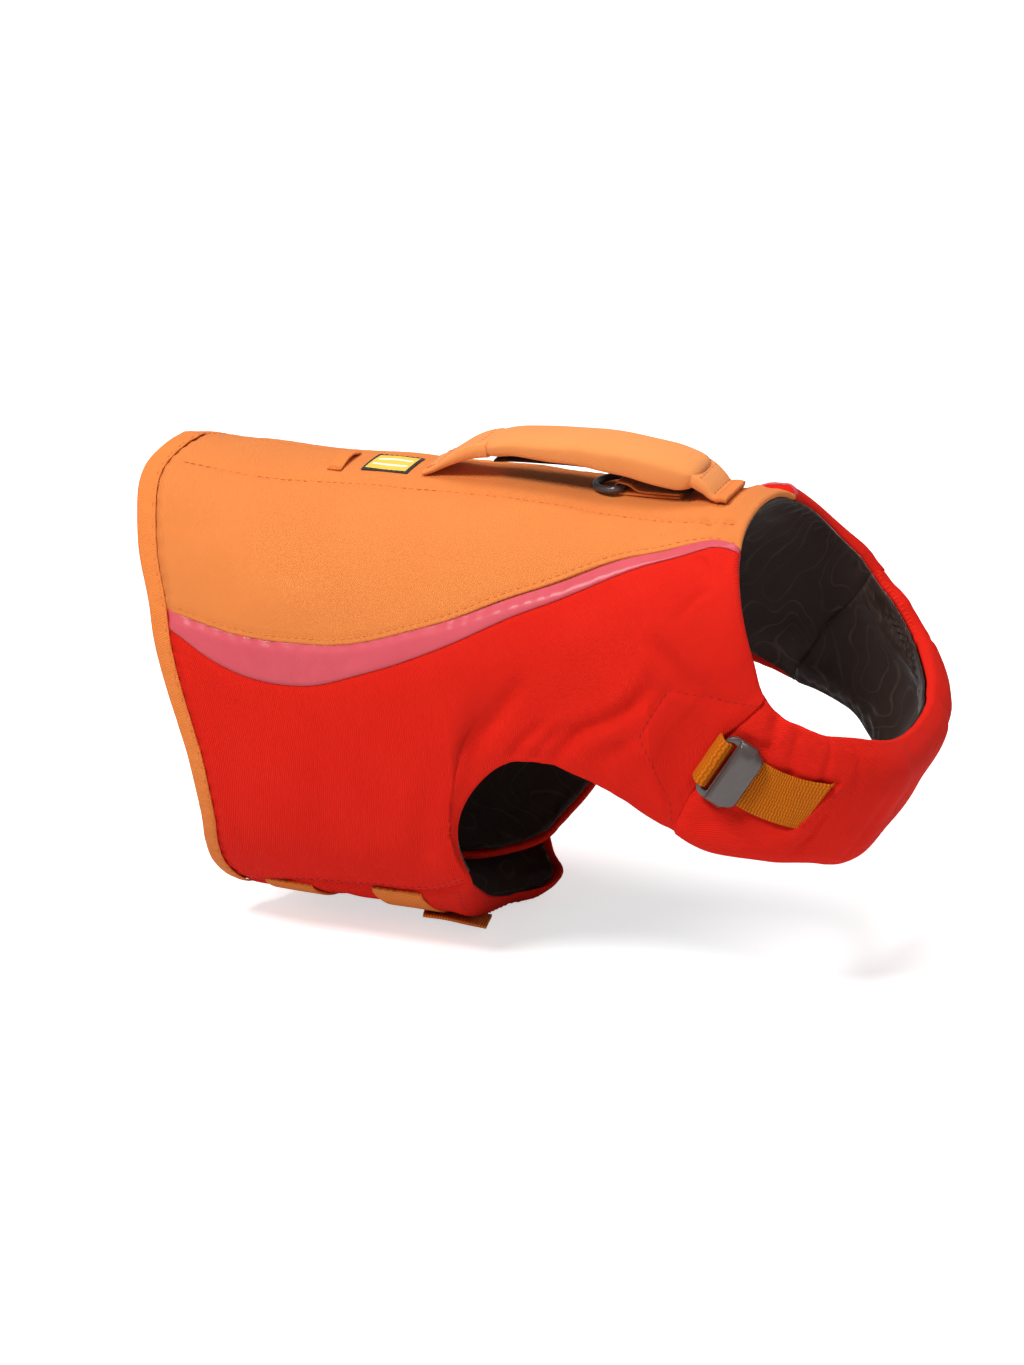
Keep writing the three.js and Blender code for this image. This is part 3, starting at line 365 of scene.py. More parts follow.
# Share of the way down from the spine (0) to the keel (1), and x.
REAR_EDGE = np.array([
    [0, -204], [0.07, -207], [0.14, -206.5], [0.2, -204], [0.27, -201],
    [0.34, -196], [0.4, -194], [0.48, -189], [0.54, -185], [0.63, -187.6],
    [0.7, -195], [0.76, -199], [0.85, -195], [1, -182],
])
NECK_EDGE = np.array([
    [0, 82], [0.18, 82], [0.32, 82], [0.44, 80.5], [0.5, 79], [0.57, 82.5], [0.67, 86],
    [0.78, 87.5], [1, 87.5],
])
# x and share down.
YOKE = np.array([
    [-203, 0.343], [-185, 0.346], [-164, 0.358], [-148, 0.366], [-130, 0.369], [-113, 0.368],
    [-99, 0.366], [-82, 0.356], [-63, 0.337], [-37, 0.306], [-13, 0.265], [6, 0.232],
    [31, 0.182], [51, 0.16], [62, 0.15], [72, 0.152], [84, 0.185],
])
BAND_EDGE = np.array([
    [-203, 0.37], [-184, 0.377], [-164, 0.406], [-148, 0.422], [-133, 0.43], [-119, 0.432],
    [-104, 0.427], [-83, 0.407], [-61, 0.382], [-35, 0.343], [-11, 0.296], [8, 0.262],
    [41, 0.198], [63, 0.178], [72, 0.176], [84, 0.2],
])
SPINE_ROW = np.array([[-203, 0.082], [-134, 0.075], [-70, 0.07], [-6, 0.073], [58, 0.094], [84, 0.1]])


def smooth(share):
    t = np.clip(share, 0, 1)
    return t * t * (3 - 2 * t)


def fade(share):
    return 1 - smooth(share)


def read(rows, key, value, name):
    xs, ys = rows[:, key], rows[:, name]
    last = len(xs) - 1
    v = np.clip(value, xs[0], xs[last])
    i = np.clip(np.searchsorted(xs, v) - 1, 0, last - 1)
    k = np.arange(last + 1)
    before, after = np.maximum(k - 1, 0), np.minimum(k + 1, last)
    slope = (ys[after] - ys[before]) / (xs[after] - xs[before])
    span = xs[i + 1] - xs[i]
    t = (v - xs[i]) / span
    t2, t3 = t * t, t * t * t
    return ((2 * t3 - 3 * t2 + 1) * ys[i] + (t3 - 2 * t2 + t) * span * slope[i]
            + (3 * t2 - 2 * t3) * ys[i + 1] + (t3 - t2) * span * slope[i + 1])


def bell(offset, width):
    """1 where the offset is zero, falling smoothly away over about the width."""
    return np.exp(-(offset / width) ** 2)


def cycle(turns):
    """A sine of the turns, one turn to each full swing."""
    return np.sin(2 * np.pi * turns)


def length_along(points):
    """How far along the line of points each one lies, from 0."""
    return np.concatenate([[0], np.cumsum(np.linalg.norm(np.diff(points, axis=0), axis=1))])


def unit(vectors):
    return vectors / np.maximum(np.linalg.norm(vectors, axis=-1, keepdims=True), 1e-9)


def skin(x, turn):
    """The outer face at x along the spine and turn, 0 at the spine, 1 at the keel, right negative."""
    x, turn = np.broadcast_arrays(np.asarray(x, float), np.asarray(turn, float))
    spine_z, keel_x, keel_z, half, scoop, upper, lower = (read(RINGS, 0, x, n) for n in range(1, 8))
    cosine, sine = np.cos(np.pi * turn), np.sin(np.pi * turn)
    power = np.where(cosine >= 0, upper, lower)
    drop = (1 - np.sign(cosine) * np.abs(cosine) ** (2 / power)) / 2
    out = np.sign(sine) * np.abs(sine) ** (2 / power)
    return np.stack([
        x + (keel_x - x) * drop + scoop * sine * sine,
        half * out,
        spine_z + (keel_z - spine_z) * drop,
    ], -1)


def outward(x, turn):
    along = skin(x + 1, turn) - skin(x - 1, turn)
    around = skin(x, turn + 0.004) - skin(x, turn - 0.004)
    return unit(np.cross(along, around))


def lifted(x, turn, lift):
    return skin(x, turn) + outward(x, turn) * np.asarray(lift, float)[..., None]


def on_rear_edge(down):
    return (float(read(REAR_EDGE, 0, down, 1)), down)


def curve(points, steps=24):
    """A smooth line through (x, down) points, as its points and the length up to each, in mm."""
    p = np.array([(x, down * GIRTH_HALF) for x, down in points], float)
    p = np.vstack([2 * p[0] - p[1], p, 2 * p[-1] - p[-2]])
    made = []
    for a, b, c, d in zip(p, p[1:], p[2:], p[3:]):
        gaps = [max(np.linalg.norm(k - j) ** 0.5, 1e-4) for j, k in ((a, b), (b, c), (c, d))]
        m1 = ((b - a) / gaps[0] - (c - a) / (gaps[0] + gaps[1]) + (c - b) / gaps[1]) * gaps[1]
        m2 = ((c - b) / gaps[1] - (d - b) / (gaps[1] + gaps[2]) + (d - c) / gaps[2]) * gaps[1]
        t = np.linspace(0, 1, steps, endpoint=False)[:, None]
        made.append(b + m1 * t + (3 * (c - b) - 2 * m1 - m2) * t ** 2 + (2 * (b - c) + m1 + m2) * t ** 3)
    made = np.vstack([*made, p[-2:-1]])
    length = length_along(made)
    made[:, 1] /= GIRTH_HALF
    return made, length


def along(line, shares):
    points, length = line
    at = np.asarray(shares) * length[-1]
    return np.stack([np.interp(at, length, points[:, 0]), np.interp(at, length, points[:, 1])], -1)


BELLY_SEAM = curve([on_rear_edge(0.852), (-138, 0.792), (-94, 0.772), (-60, 0.756), (-35, 0.705)])
LEG_EDGE_RIGHT = curve([
    (-35, 0.705), (-37, 0.63), (-34, 0.577), (-27, 0.538), (-16, 0.507), (-5, 0.498), (9, 0.5),
    (23, 0.514), (33, 0.536), (40, 0.563), (47, 0.591),
])
FLAP_EDGE_RIGHT = curve([(47, 0.591), (51, 0.56), (56, 0.536), (66, 0.503), (72, 0.499), (79, 0.5)])
HEM_LEFT = curve([
    on_rear_edge(0.955), (-130, 0.972), (-73, 0.969), (-53, 0.926), (-40, 0.878), (-34.5, 0.821),
    (-28.5, 0.768), (-24, 0.728),
])
LEG_EDGE_LEFT = curve([
    (-24, 0.728), (-24.5, 0.64), (-23, 0.585), (-18.5, 0.544), (-11, 0.512), (0, 0.5), (14, 0.498),
    (28, 0.505), (38, 0.517), (46, 0.531), (52, 0.549),
])
FLAP_EDGE_LEFT = curve([(52, 0.549), (55, 0.536), (60, 0.52), (67, 0.503), (74, 0.499), (83.5, 0.5)])
CHEST_HEM = curve([
    (47, 0.591), (53, 0.63), (61, 0.676), (66, 0.73), (69, 0.785), (70, 0.853), (70, 1),
    (70, 1.15), (69.5, 1.25), (68, 1.32), (65, 1.379), (58, 1.428), (52, 1.451),
])
BELLY_FRONT = curve([
    (-35, 0.705), (-41, 0.84), (-42, 1), (-30.5, 1.03), (-28, 1.085), (-38.5, 1.14), (-48, 1.21),
    (-52, 1.3), (-52, 1.39),
])
BELLY_REAR = curve([on_rear_edge(0.852), (-186, 0.9), (-177, 1), (-178, 1.15), (-182, 1.27), (-184, 1.39)])
BELLY_TOP_LEFT = curve([(-184, 1.39), (-120, 1.385), (-52, 1.39)])
TUCK = np.array([[0, 0], [0.5, 0], [0.6, -1], [0.8, -4.5], [0.97, -7.5], [1, -7.5]])
FRONT_TUCK = np.array([
    [0.7, 0], [0.74, 3], [0.78, 8], [0.83, 11], [0.94, 11], [1, 6.5], [1.04, 3.2], [1.1, 1.8],
    [1.2, 1], [1.39, 0],
])
BELLY_LIFT = np.array([[0.7, 0], [1, 0], [1.06, 0.6], [1.2, 3.4], [1.39, 7], [1.45, 7]])

# Creases: (x, share down) points along each, half width in mm and depth in mm.
RIGHT_CREASES = [
    ([(-27, 0.512), (-21.5, 0.472), (-15, 0.444), (-8.6, 0.412), (0, 0.375)], 5.5, 2.3),
    ([(-9, 0.494), (-3.6, 0.472), (1.1, 0.458), (7, 0.435)], 3.2, 1.6),
    ([(0.5, 0.495), (5.2, 0.473), (9.7, 0.459), (16, 0.438)], 2.8, 1.5),
    ([(8, 0.496), (14.4, 0.471), (20.5, 0.453), (28, 0.443), (36.6, 0.43), (43.6, 0.41), (50, 0.37)],
     4.4, 2.8),
    ([(25, 0.5), (31, 0.486), (38, 0.474), (43, 0.458)], 4.5, 1.2),
    ([(50, 0.33), (55, 0.366), (60, 0.4), (64.5, 0.42), (71, 0.43)], 4.6, 2.0),
    ([(36, 0.47), (42, 0.435), (48, 0.408), (54, 0.38)], 8.0, 1.7),
    ([(60, 0.3), (66, 0.275), (73, 0.262)], 4.0, 0.9),
    ([(64, 0.19), (69, 0.215), (72, 0.25)], 3.2, 1.1),
    ([(73, 0.19), (76, 0.215), (77, 0.25)], 3.0, 1.0),
    ([(-60, 0.7), (-54, 0.63), (-50, 0.57), (-40, 0.5)], 9.0, 1.0),
    ([(-110, 0.46), (-104, 0.52), (-108, 0.6), (-112, 0.68)], 13.0, 0.9),
    ([(-168, 0.44), (-160, 0.52), (-163, 0.62), (-160, 0.72)], 12.0, 0.8),
]
LEFT_CREASES = [
    ([(-24, 0.516), (-20, 0.48), (-15, 0.45), (-9, 0.42), (-4, 0.39)], 5.0, 2.0),
    ([(-6, 0.497), (-1, 0.47), (5, 0.45), (9, 0.43)], 3.2, 1.5),
    ([(11, 0.495), (18, 0.468), (26, 0.45), (36, 0.432), (46, 0.4)], 4.6, 2.4),
    ([(29, 0.5), (36, 0.484), (44, 0.47)], 4.2, 1.3),
    ([(48, 0.34), (54, 0.37), (62, 0.405), (69, 0.42)], 4.8, 1.8),
    ([(57, 0.31), (65, 0.28), (74, 0.268)], 4.2, 0.9),
    ([(66, 0.19), (70, 0.22), (72, 0.255)], 3.2, 1.0),
    ([(-52, 0.88), (-46, 0.78), (-44, 0.7), (-36, 0.6)], 8.0, 1.1),
    ([(-118, 0.44), (-112, 0.37), (-96, 0.34)], 12.0, 0.7),
]
RIGHT_BAND_WRINKLES = [
    ([(-138, 0.368), (-140, 0.39), (-137, 0.42)], 2.6, 0.9),
    ([(-128, 0.37), (-126, 0.392), (-129, 0.428)], 3.4, 0.7),
    ([(-112, 0.368), (-115, 0.395), (-112, 0.43)], 2.4, 1.0),
    ([(-104, 0.366), (-105, 0.39), (-109, 0.425)], 2.0, 0.8),
    ([(-96, 0.364), (-99, 0.392), (-97, 0.42)], 2.6, 0.9),
    ([(-86, 0.358), (-87, 0.38), (-91, 0.41)], 3.0, 0.6),
]
LEFT_BAND_WRINKLES = [
    ([(-146, 0.368), (-144, 0.39), (-147, 0.42)], 2.8, 0.8),
    ([(-121, 0.37), (-124, 0.395), (-121, 0.43)], 2.6, 0.9),
    ([(-101, 0.366), (-99, 0.39), (-103, 0.424)], 3.0, 0.8),
    ([(-79, 0.352), (-82, 0.38), (-80, 0.404)], 2.6, 0.7),
]
# The sewn outline of the flap's doubled cloth, and the rows of stitching that sink in a little.
PATCH_RIGHT = [
    (76.6, 0.494), (67.6, 0.441), (54.4, 0.406), (47.8, 0.436), (41.6, 0.466), (44.9, 0.501), (48.5, 0.541),
    (47.5, 0.573),
]
PATCH_LEFT = [
    (77, 0.492), (68, 0.441), (55, 0.406), (48, 0.436), (42, 0.466), (46, 0.5), (50, 0.53), (52, 0.54),
]


def drift(a, b, size, seed):
    """Soft unevenness without a pattern, about -1 to 1, that changes over a length of size mm."""
    chance = np.random.default_rng(seed)
    total = 0
    for _ in range(9):
        angle = chance.uniform(0, FULL_TURN)
        wave = size * chance.uniform(0.6, 1.7)
        phase = chance.uniform(0, FULL_TURN)
        total = total + np.sin(FULL_TURN * (a * math.cos(angle) + b * math.sin(angle)) / wave + phase)
    return total / 4.2


def path_distance(x, down, points, straight=False):
    """How far each place is from a path, in mm, and its share of the way along."""
    if straight:
        p = np.array([(px, pd * GIRTH_HALF) for px, pd in points], float)
        length = length_along(p)
    else:
        p, length = curve(points, 7)
        p = p * [1, GIRTH_HALF]
    near = np.full(x.shape, np.inf)
    share = np.zeros(x.shape)
    for a, b, start, end in zip(p, p[1:], length, length[1:]):
        run = b - a
        t = np.clip(((x - a[0]) * run[0] + (down - a[1]) * run[1]) / max(run @ run, 1e-9), 0, 1)
        off = np.hypot(x - a[0] - t * run[0], down - a[1] - t * run[1])
        closer = off < near
        near = np.where(closer, off, near)
        share = np.where(closer, (start + (end - start) * t) / length[-1], share)
    return near, share


def creased(x, turn, creases):
    down = np.abs(turn) * GIRTH_HALF
    total = np.zeros(x.shape)
    for points, width, depth in creases:
        off, share = path_distance(x, down, points)
        ends = smooth((share + 0.12) / 0.3) * smooth((1.04 - share) / 0.4)
        sharp = bell(off, 0.8 * width) - 0.34 * bell(off, 1.9 * width)
        total += 1.45 * depth * ends * sharp
    return total


# Building pieces.

def add_piece(name, points, faces, places, materials, nodes, slot, face_kinds=None):
    """A mesh piece from points in mm, its faces, and its own map's places in mm."""
    mesh = bpy.data.meshes.new(name)
    mesh.from_pydata((np.asarray(points) * MM).tolist(), [], [list(f) for f in faces])
    layer = mesh.uv_layers.new(name="cut")
    corners = np.zeros(len(mesh.loops), np.int32)
    mesh.loops.foreach_get("vertex_index", corners)
    layer.data.foreach_set("uv", (np.asarray(places)[corners] * MM).astype(np.float32).ravel())
    mesh.polygons.foreach_set("use_smooth", np.ones(len(mesh.polygons), bool))
    for material in materials if isinstance(materials, (list, tuple)) else [materials]:
        mesh.materials.append(material)
    if face_kinds is not None:
        mesh.polygons.foreach_set("material_index", np.asarray(face_kinds, np.int32))
    mesh.validate()
    mesh.update()
    piece = bpy.data.objects.new(name, mesh)
    bpy.context.scene.collection.objects.link(piece)
    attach(piece, "jacket")
    if nodes:
        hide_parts(*nodes)
    return piece


def facing_out(points, faces):
    """The faces, turned round if the closed form they make is inside out."""
    p = np.asarray(points) - np.mean(points, axis=0)
    quads = np.array([f for f in faces if len(f) == 4])
    a, b, c, d = (p[quads[:, k]] for k in range(4))
    volume = (a * np.cross(b, c)).sum() + (a * np.cross(c, d)).sum()
    return faces if volume > 0 else [f[::-1] for f in faces]


def grid_faces(cols, rows, start=0):
    c, r = np.meshgrid(np.arange(cols - 1), np.arange(rows - 1), indexing="ij")
    a = start + c * rows + r
    b = a + rows
    return np.stack([a, b, b + 1, a + 1], -1).reshape(-1, 4)


def tube_faces(cols, sides):
    """The faces of a closed form made of rings of points, with a face over each end."""
    c, k = np.meshgrid(np.arange(cols - 1), np.arange(sides), indexing="ij")
    a, b = c * sides + k, c * sides + (k + 1) % sides
    round_it = np.stack([a, a + sides, b + sides, b], -1).reshape(-1, 4).tolist()
    last = range(cols * sides - 1, (cols - 1) * sides - 1, -1)
    return [*round_it, list(range(sides)), list(last)]


def wall_faces(cols, rows):
    outer = grid_faces(cols, rows)
    inner = grid_faces(cols, rows, cols * rows)[:, ::-1]
    rim = [c * rows for c in range(cols)] + [(cols - 1) * rows + r for r in range(1, rows)]
    rim += [c * rows + rows - 1 for c in range(cols - 2, -1, -1)] + [r for r in range(rows - 2, 0, -1)]
    rim = np.array(rim)
    ahead = np.roll(rim, -1)
    side = np.stack([ahead, rim, rim + cols * rows, ahead + cols * rows], -1)
    return np.vstack([outer, inner, side])


def walled(name, outer, inner, places, materials, nodes, slot, **more):
    """A closed wall between an outer and an inner grid of points."""
    cols, rows = outer.shape[:2]
    points = np.vstack([outer.reshape(-1, 3), inner.reshape(-1, 3)])
    faces = facing_out(points, wall_faces(cols, rows).tolist())
    flat = places.reshape(-1, 2)
    return add_piece(name, points, faces, np.vstack([flat, flat]), materials, nodes, slot, **more)


def tube(name, grid, run, around, material, node, slot):
    """A closed form from rings of points, its own map given by the lengths along it and around it."""
    cols, sides = grid.shape[:2]
    points = grid.reshape(-1, 3)
    places = np.stack(np.broadcast_arrays(run[:, None], around[None]), -1).reshape(-1, 2)
    faces = facing_out(points, tube_faces(cols, sides))
    return add_piece(name, points, faces, places, material, [node], slot)


def cut_of(grid):
    """Width, length and area in square metres of the flat cut that a grid of points came from."""
    across = np.linalg.norm(np.diff(grid, axis=1), axis=2).sum(1)
    length = np.linalg.norm(np.diff(grid, axis=0), axis=2).sum(0)
    a, b, c, d = grid[:-1, :-1], grid[1:, :-1], grid[1:, 1:], grid[:-1, 1:]
    area = np.linalg.norm(np.cross(c - a, d - b), axis=2).sum() / 2
    flat = (float(across.max()) * MM, float(length.max()) * MM)
    return flat, min(float(area) * MM * MM, flat[0] * flat[1])


SMALLEST_CUT = 0.01


def declare_cloth(grid):
    (width, length), area = cut_of(grid)
    if area < 0.3 * width * length:
        width = area / length / 0.9
    width, length = max(width, SMALLEST_CUT), max(length, SMALLEST_CUT)


def surface_places(points):
    """Distances over the surface, along and across a grid of points, in mm."""
    run = np.zeros(points.shape[:2])
    run[1:] = np.cumsum(np.linalg.norm(np.diff(points, axis=0), axis=2), axis=0)
    cross = np.zeros(points.shape[:2])
    cross[:, 1:] = np.cumsum(np.linalg.norm(np.diff(points, axis=1), axis=2), axis=1)
    middle = points.shape[1] // 2
    run += (run[:, middle].max() - run.max(0)) * 0.5
    return np.stack([run, cross], -1)


def far_neck_edge(down):
    """The neck's edge on the left, where it runs straighter than on the right."""
    return read(NECK_EDGE, 0, down, 1) + 4.5 * bell(down - 0.5, 0.09)


def nearest_of(points):
    """A search tree that finds the nearest of the points."""
    tree = kdtree.KDTree(len(points))
    for i, p in enumerate(points):
        tree.insert(p, i)
    tree.balance()
    return tree


def near_edge(points, chain):
    tree = nearest_of(chain)
    return np.array([tree.find(p)[2] for p in points.reshape(-1, 3)]).reshape(points.shape[:2])


def denser(chain):
    """The same chain of points with one every 0.35 mm or so."""
    step = 0.35
    p = np.asarray(chain)
    length = length_along(p)
    at = np.linspace(0, length[-1], max(int(length[-1] / step), 2))
    return np.stack([np.interp(at, length, p[:, k]) for k in range(3)], -1)


def eased(count, start=0.0, end=0.0):
    """Shares from 0 to 1 in count steps, closer together at an end by its ease from 0 to 1."""
    t = np.linspace(0, 1, count + 1)
    density = 1 - start * fade(t / 0.35) - end * fade((1 - t) / 0.35)
    total = np.concatenate([[0], np.cumsum((density[1:] + density[:-1]) / 2)])
    return total / total[-1]


def coons(top, bottom, rear, neck, down):
    """Fills the patch between its four edges, as (x, turn)."""
    count = len(top)
    u = np.linspace(0, 1, count)[:, None, None]
    v = np.asarray(down)[None, :, None]
    return ((1 - v) * top[:, None] + v * bottom[:, None] + (1 - u) * rear[None] + u * neck[None]
            - (1 - u) * ((1 - v) * top[0] + v * bottom[0]) - u * ((1 - v) * top[-1] + v * bottom[-1]))


def panel(place, lift, edges):
    """A panel's grid: base points, outward directions and distances to each kind of edge."""
    x, turn = place[..., 0], place[..., 1]
    base = lifted(x, turn, np.zeros(x.shape) + lift)
    made = {"x": x, "turn": turn, "base": base, "out": outward(x, turn), "place": surface_places(base)}
    sides = {"top": base[:, 0], "bottom": base[:, -1], "rear": base[0], "neck": base[-1]}
    for kind in ("bound", "free", "seam"):
        chains = []
        for side, what in edges.items():
            spans = what if isinstance(what, list) else [(what, 0, len(sides[side]) - 1)]
            chains += [denser(sides[side][a:b + 1]) for k, a, b in spans if k == kind]
        made[kind] = near_edge(base, np.vstack(chains)) if chains else np.full(x.shape, FAR_AWAY)
    return made


def at_offset(p, offset):
    return p["base"] + p["out"] * offset[..., None]


def edge_round(distance, radius):
    q = np.clip(distance / radius, 0, 1)
    return 1 - np.sqrt(np.maximum(1 - (1 - q) ** 2, 0))


def shell_faces(p, full, crease, seam_drop=1.2, seam_round=5.5, puff=0.9, seed=1, pucker=0.22, edge_bead=0.7,
                swell=0.0):
    """Outer and inner offsets of a padded panel, its edges rounded and its seams drawn in."""
    x, down = p["x"], np.abs(p["turn"]) * GIRTH_HALF
    bound = EDGE_DROP * fade((p["bound"] - BINDING_WIDTH + 1.6) / 4.6)
    free = EDGE_DROP * fade(p["free"] / 9)
    seam = seam_drop * fade(p["seam"] / seam_round)
    drop = np.maximum(np.maximum(bound, free), seam)
    inside = np.minimum(np.minimum(p["bound"] - BINDING_WIDTH, p["free"]), p["seam"])
    settle = smooth(inside / 26)
    crown = puff * settle * (0.75 + 0.5 * drift(x, down, 95, seed))
    crown += 0.35 * settle * drift(x, down, 34, seed + 7)
    tight = np.exp(-np.maximum(p["seam"], 0) / 5) * smooth(p["seam"] / 1.5)
    run, cross = p["place"][..., 0], p["place"][..., 1]
    ripple = pucker * tight * cycle(run / 8.5 + 0.5 * drift(x, down, 40, seed + 3))
    hem = np.exp(-np.maximum(p["bound"] - BINDING_WIDTH, 0) / 5)
    ripple = ripple + 0.3 * hem * cycle(cross / 9 + 0.6 * drift(x, down, 45, seed + 4))
    edge = smooth((14 - p["free"]) / 12)
    keep = smooth((p["bound"] - BINDING_WIDTH) / 12) * (0.35 + 0.65 * smooth(p["seam"] / 12))
    fold = crease * keep
    bead = EDGE_WALL / 2 - 0.2
    outer = -drop + crown + ripple - fold + swell - bead * edge_round(p["free"], 1.7)
    outer -= edge_bead * edge_round(p["seam"], 0.9)
    thin = np.minimum(smooth((p["bound"] - BINDING_WIDTH - 0.2) / 12), smooth(p["free"] / 20))
    wall = EDGE_WALL + (full - EDGE_WALL) * thin
    plain = EDGE_DROP * fade((p["bound"] - BINDING_WIDTH - 0.2) / 4.5)
    plain = np.maximum(plain, EDGE_DROP * fade(p["free"] / 7))
    plain = np.maximum(plain, 0.7 * fade(p["seam"] / 5))
    inner = -plain - wall - fold * edge + bead * edge_round(p["free"], 1.7)
    return outer, inner


def shell(name, p, full, crease, material, nodes, fill, slot, **more):
    outer, inner = shell_faces(p, full, crease, **more)
    p["outer"], p["inner"] = outer, inner
    piece = walled(name, at_offset(p, outer), at_offset(p, inner), p["place"], material, nodes, slot)
    return piece


def sample(grid, i, j):
    """Reads a grid at fractional columns i and rows j."""
    i0 = np.clip(np.floor(i).astype(int), 0, grid.shape[0] - 2)
    j0 = np.clip(np.floor(j).astype(int), 0, grid.shape[1] - 2)
    a, b = i - i0, j - j0
    if grid.ndim == 3:
        a, b = a[..., None], b[..., None]
    return ((1 - a) * ((1 - b) * grid[i0, j0] + b * grid[i0, j0 + 1])
            + a * ((1 - b) * grid[i0 + 1, j0] + b * grid[i0 + 1, j0 + 1]))


def lining(name, p, node, insets, seed, gather=0.35, roll=0.0):
    """The inner cloth on a panel's inside. insets are mm left clear at top, bottom, rear and neck,
    each a number or one for every column."""
    cols, rows = p["x"].shape
    width = np.linalg.norm(np.diff(p["base"], axis=1), axis=2).sum(1)
    length = np.linalg.norm(np.diff(p["base"], axis=0), axis=2).sum(0)
    top, bottom, rear, neck = (np.asarray(v, float) for v in insets)
    count_i, count_j = cols // 2, rows // 2
    s, t = np.meshgrid(np.linspace(0, 1, count_i), np.linspace(0, 1, count_j), indexing="ij")
    first = rear / length.mean()
    last = 1 - neck / length.mean()
    i = (first + (last - first) * s) * (cols - 1)
    column = np.clip(np.round(i).astype(int), 0, cols - 1)
    low = (np.zeros(cols) + top)[column] / width[column]
    high = 1 - (np.zeros(cols) + bottom)[column] / width[column]
    shares = np.concatenate([[0], np.cumsum(np.linalg.norm(np.diff(p["base"], axis=1), axis=2).mean(0))])
    shares /= shares[-1]
    j = np.interp((low + (high - low) * t).ravel(), shares, np.arange(rows)).reshape(t.shape)
    take = lambda key: sample(p[key], i, j)
    x, down = take("x"), np.abs(take("turn")) * GIRTH_HALF
    free, seam = take("free"), take("seam")
    slack = smooth((np.minimum(free, seam) - 3) / 14)
    place = take("place")
    wrinkle = slack * (0.7 * drift(x, down, 48, seed) + 0.45 * drift(x, down, 19, seed + 1))
    near = np.exp(-np.maximum(free - 4.5, 0) / 7)
    pleat = gather * near * cycle(place.sum(-1) / 7.5 + 0.7 * drift(x, down, 30, seed + 2))
    swell = roll * bell(free - 9, 6)
    slack = np.maximum(0.9 + wrinkle + pleat, 0.0) * smooth(np.minimum(free, seam) / 5)
    offset = take("inner") - SEAM_GAP - slack - swell
    out = unit(take("out"))
    face = take("base") + out * offset[..., None]
    back = face - out * LINING_WALL
    piece = walled(name, face, back, place, lining_print, [node], "lining_cloth")
    declare_cloth((face + back) / 2)
    return piece


# Panels.

SEAM_COLS, LEG_COLS, FLAP_COLS = 84, 84, 48
HALF_GAP = 0.25 / GIRTH_HALF
yoke_marks = (float(read(REAR_EDGE, 0, 0.343, 1)), -48.0, 39.0, float(read(NECK_EDGE, 0, 0.185, 1)))
section_shares = [eased(SEAM_COLS, start=0.7), eased(LEG_COLS), eased(FLAP_COLS, end=0.8)]


def yoke_line():
    spans = zip(yoke_marks, yoke_marks[1:], section_shares)
    xs = np.concatenate([*((a + (b - a) * shares)[:-1] for a, b, shares in spans), [yoke_marks[-1]]])
    return np.stack([xs, read(YOKE, 0, xs, 1)], -1)


yoke = yoke_line()
COLS = len(yoke) - 1

BACK_HALF_ROWS = 50
YOKE_LAP = 1.1


def rear_shoulder(x, side_way):
    """How much fuller the padding stands at the rear, by the distance round from the spine."""
    near = 7.6 * bell(side_way + 44, 30) * fade((x + 205) / 46)
    far = 2.2 * bell(side_way - 42, 22) * fade((x + 205) / 28)
    ridge = 4.2 * bell(side_way, 17) * fade((x + 205) / 40)
    return near + far + ridge - 0.9 * bell(x + 150, 24) * bell(side_way, 60)


def rear_low_corner(x, turn):
    """How much fuller the right side stands at its lower rear corner."""
    down = -turn * GIRTH_HALF
    return 2.6 * bell(down - 250, 26) * fade((x + 203) / 60)


def neck_roll(p, height):
    """How far the padding stands out in a roll just behind the neck's edge."""
    near = np.clip(p["free"] / 4.5, 0, 1)
    rounded = np.sqrt(near * (2 - near))
    return height * smooth((p["x"] - 40) / 16) * rounded * fade((p["free"] - 9) / 26)


def build_back():
    share = np.linspace(0, 1, COLS + 1)
    half = eased(BACK_HALF_ROWS, end=0.75)
    turn = (yoke[:, 1:] + YOKE_LAP / GIRTH_HALF) * np.concatenate([-half[::-1], half[1:]])
    rear = read(REAR_EDGE, 0, np.abs(turn), 1) - yoke[0, 0]
    neck = read(NECK_EDGE, 0, np.abs(turn), 1) - yoke[-1, 0]
    x = yoke[:, 0:1] + (1 - share)[:, None] * rear + share[:, None] * neck
    lift = rear_shoulder(x, turn * GIRTH_HALF)
    edges = {"top": "seam", "bottom": "seam", "rear": "bound", "neck": "free"}
    p = panel(np.stack([x, turn], -1), lift, edges)
    down = np.abs(turn) * GIRTH_HALF
    row = read(SPINE_ROW, 0, x, 1) * GIRTH_HALF
    ends = smooth((p["bound"] - BINDING_WIDTH) / 6) * smooth(p["free"] / 10)
    groove = 1.5 * ends * bell(down - row, 2.2)
    groove += 0.16 * ends * bell(down - row, 7) * cycle(x / 8 + 0.6 * drift(x, down, 50, 21))
    topstitch = 0.55 * bell(p["seam"] - 2.6, 1.1) * smooth((p["bound"] - 9) / 5)
    crease = creased(x, turn, [
        ([(62, 0.13), (66, 0.09), (68, 0.05)], 4, 1.2),
        ([(72, 0.15), (75, 0.11), (74, 0.07)], 4, 1.0),
        ([(58, 0.12), (50, 0.135), (38, 0.14)], 5, 0.9),
        ([(-192, 0.2), (-170, 0.21), (-150, 0.2)], 9, 0.6),
    ])
    shell("back_shell", p, 9.2, crease + groove + topstitch, orange_twill, ["back_panel"], 0.7,
          "orange_cloth", seam_drop=0.1, seam_round=3, puff=1.0, seed=3, pucker=0.1, edge_bead=0.45)
    return p


back = build_back()


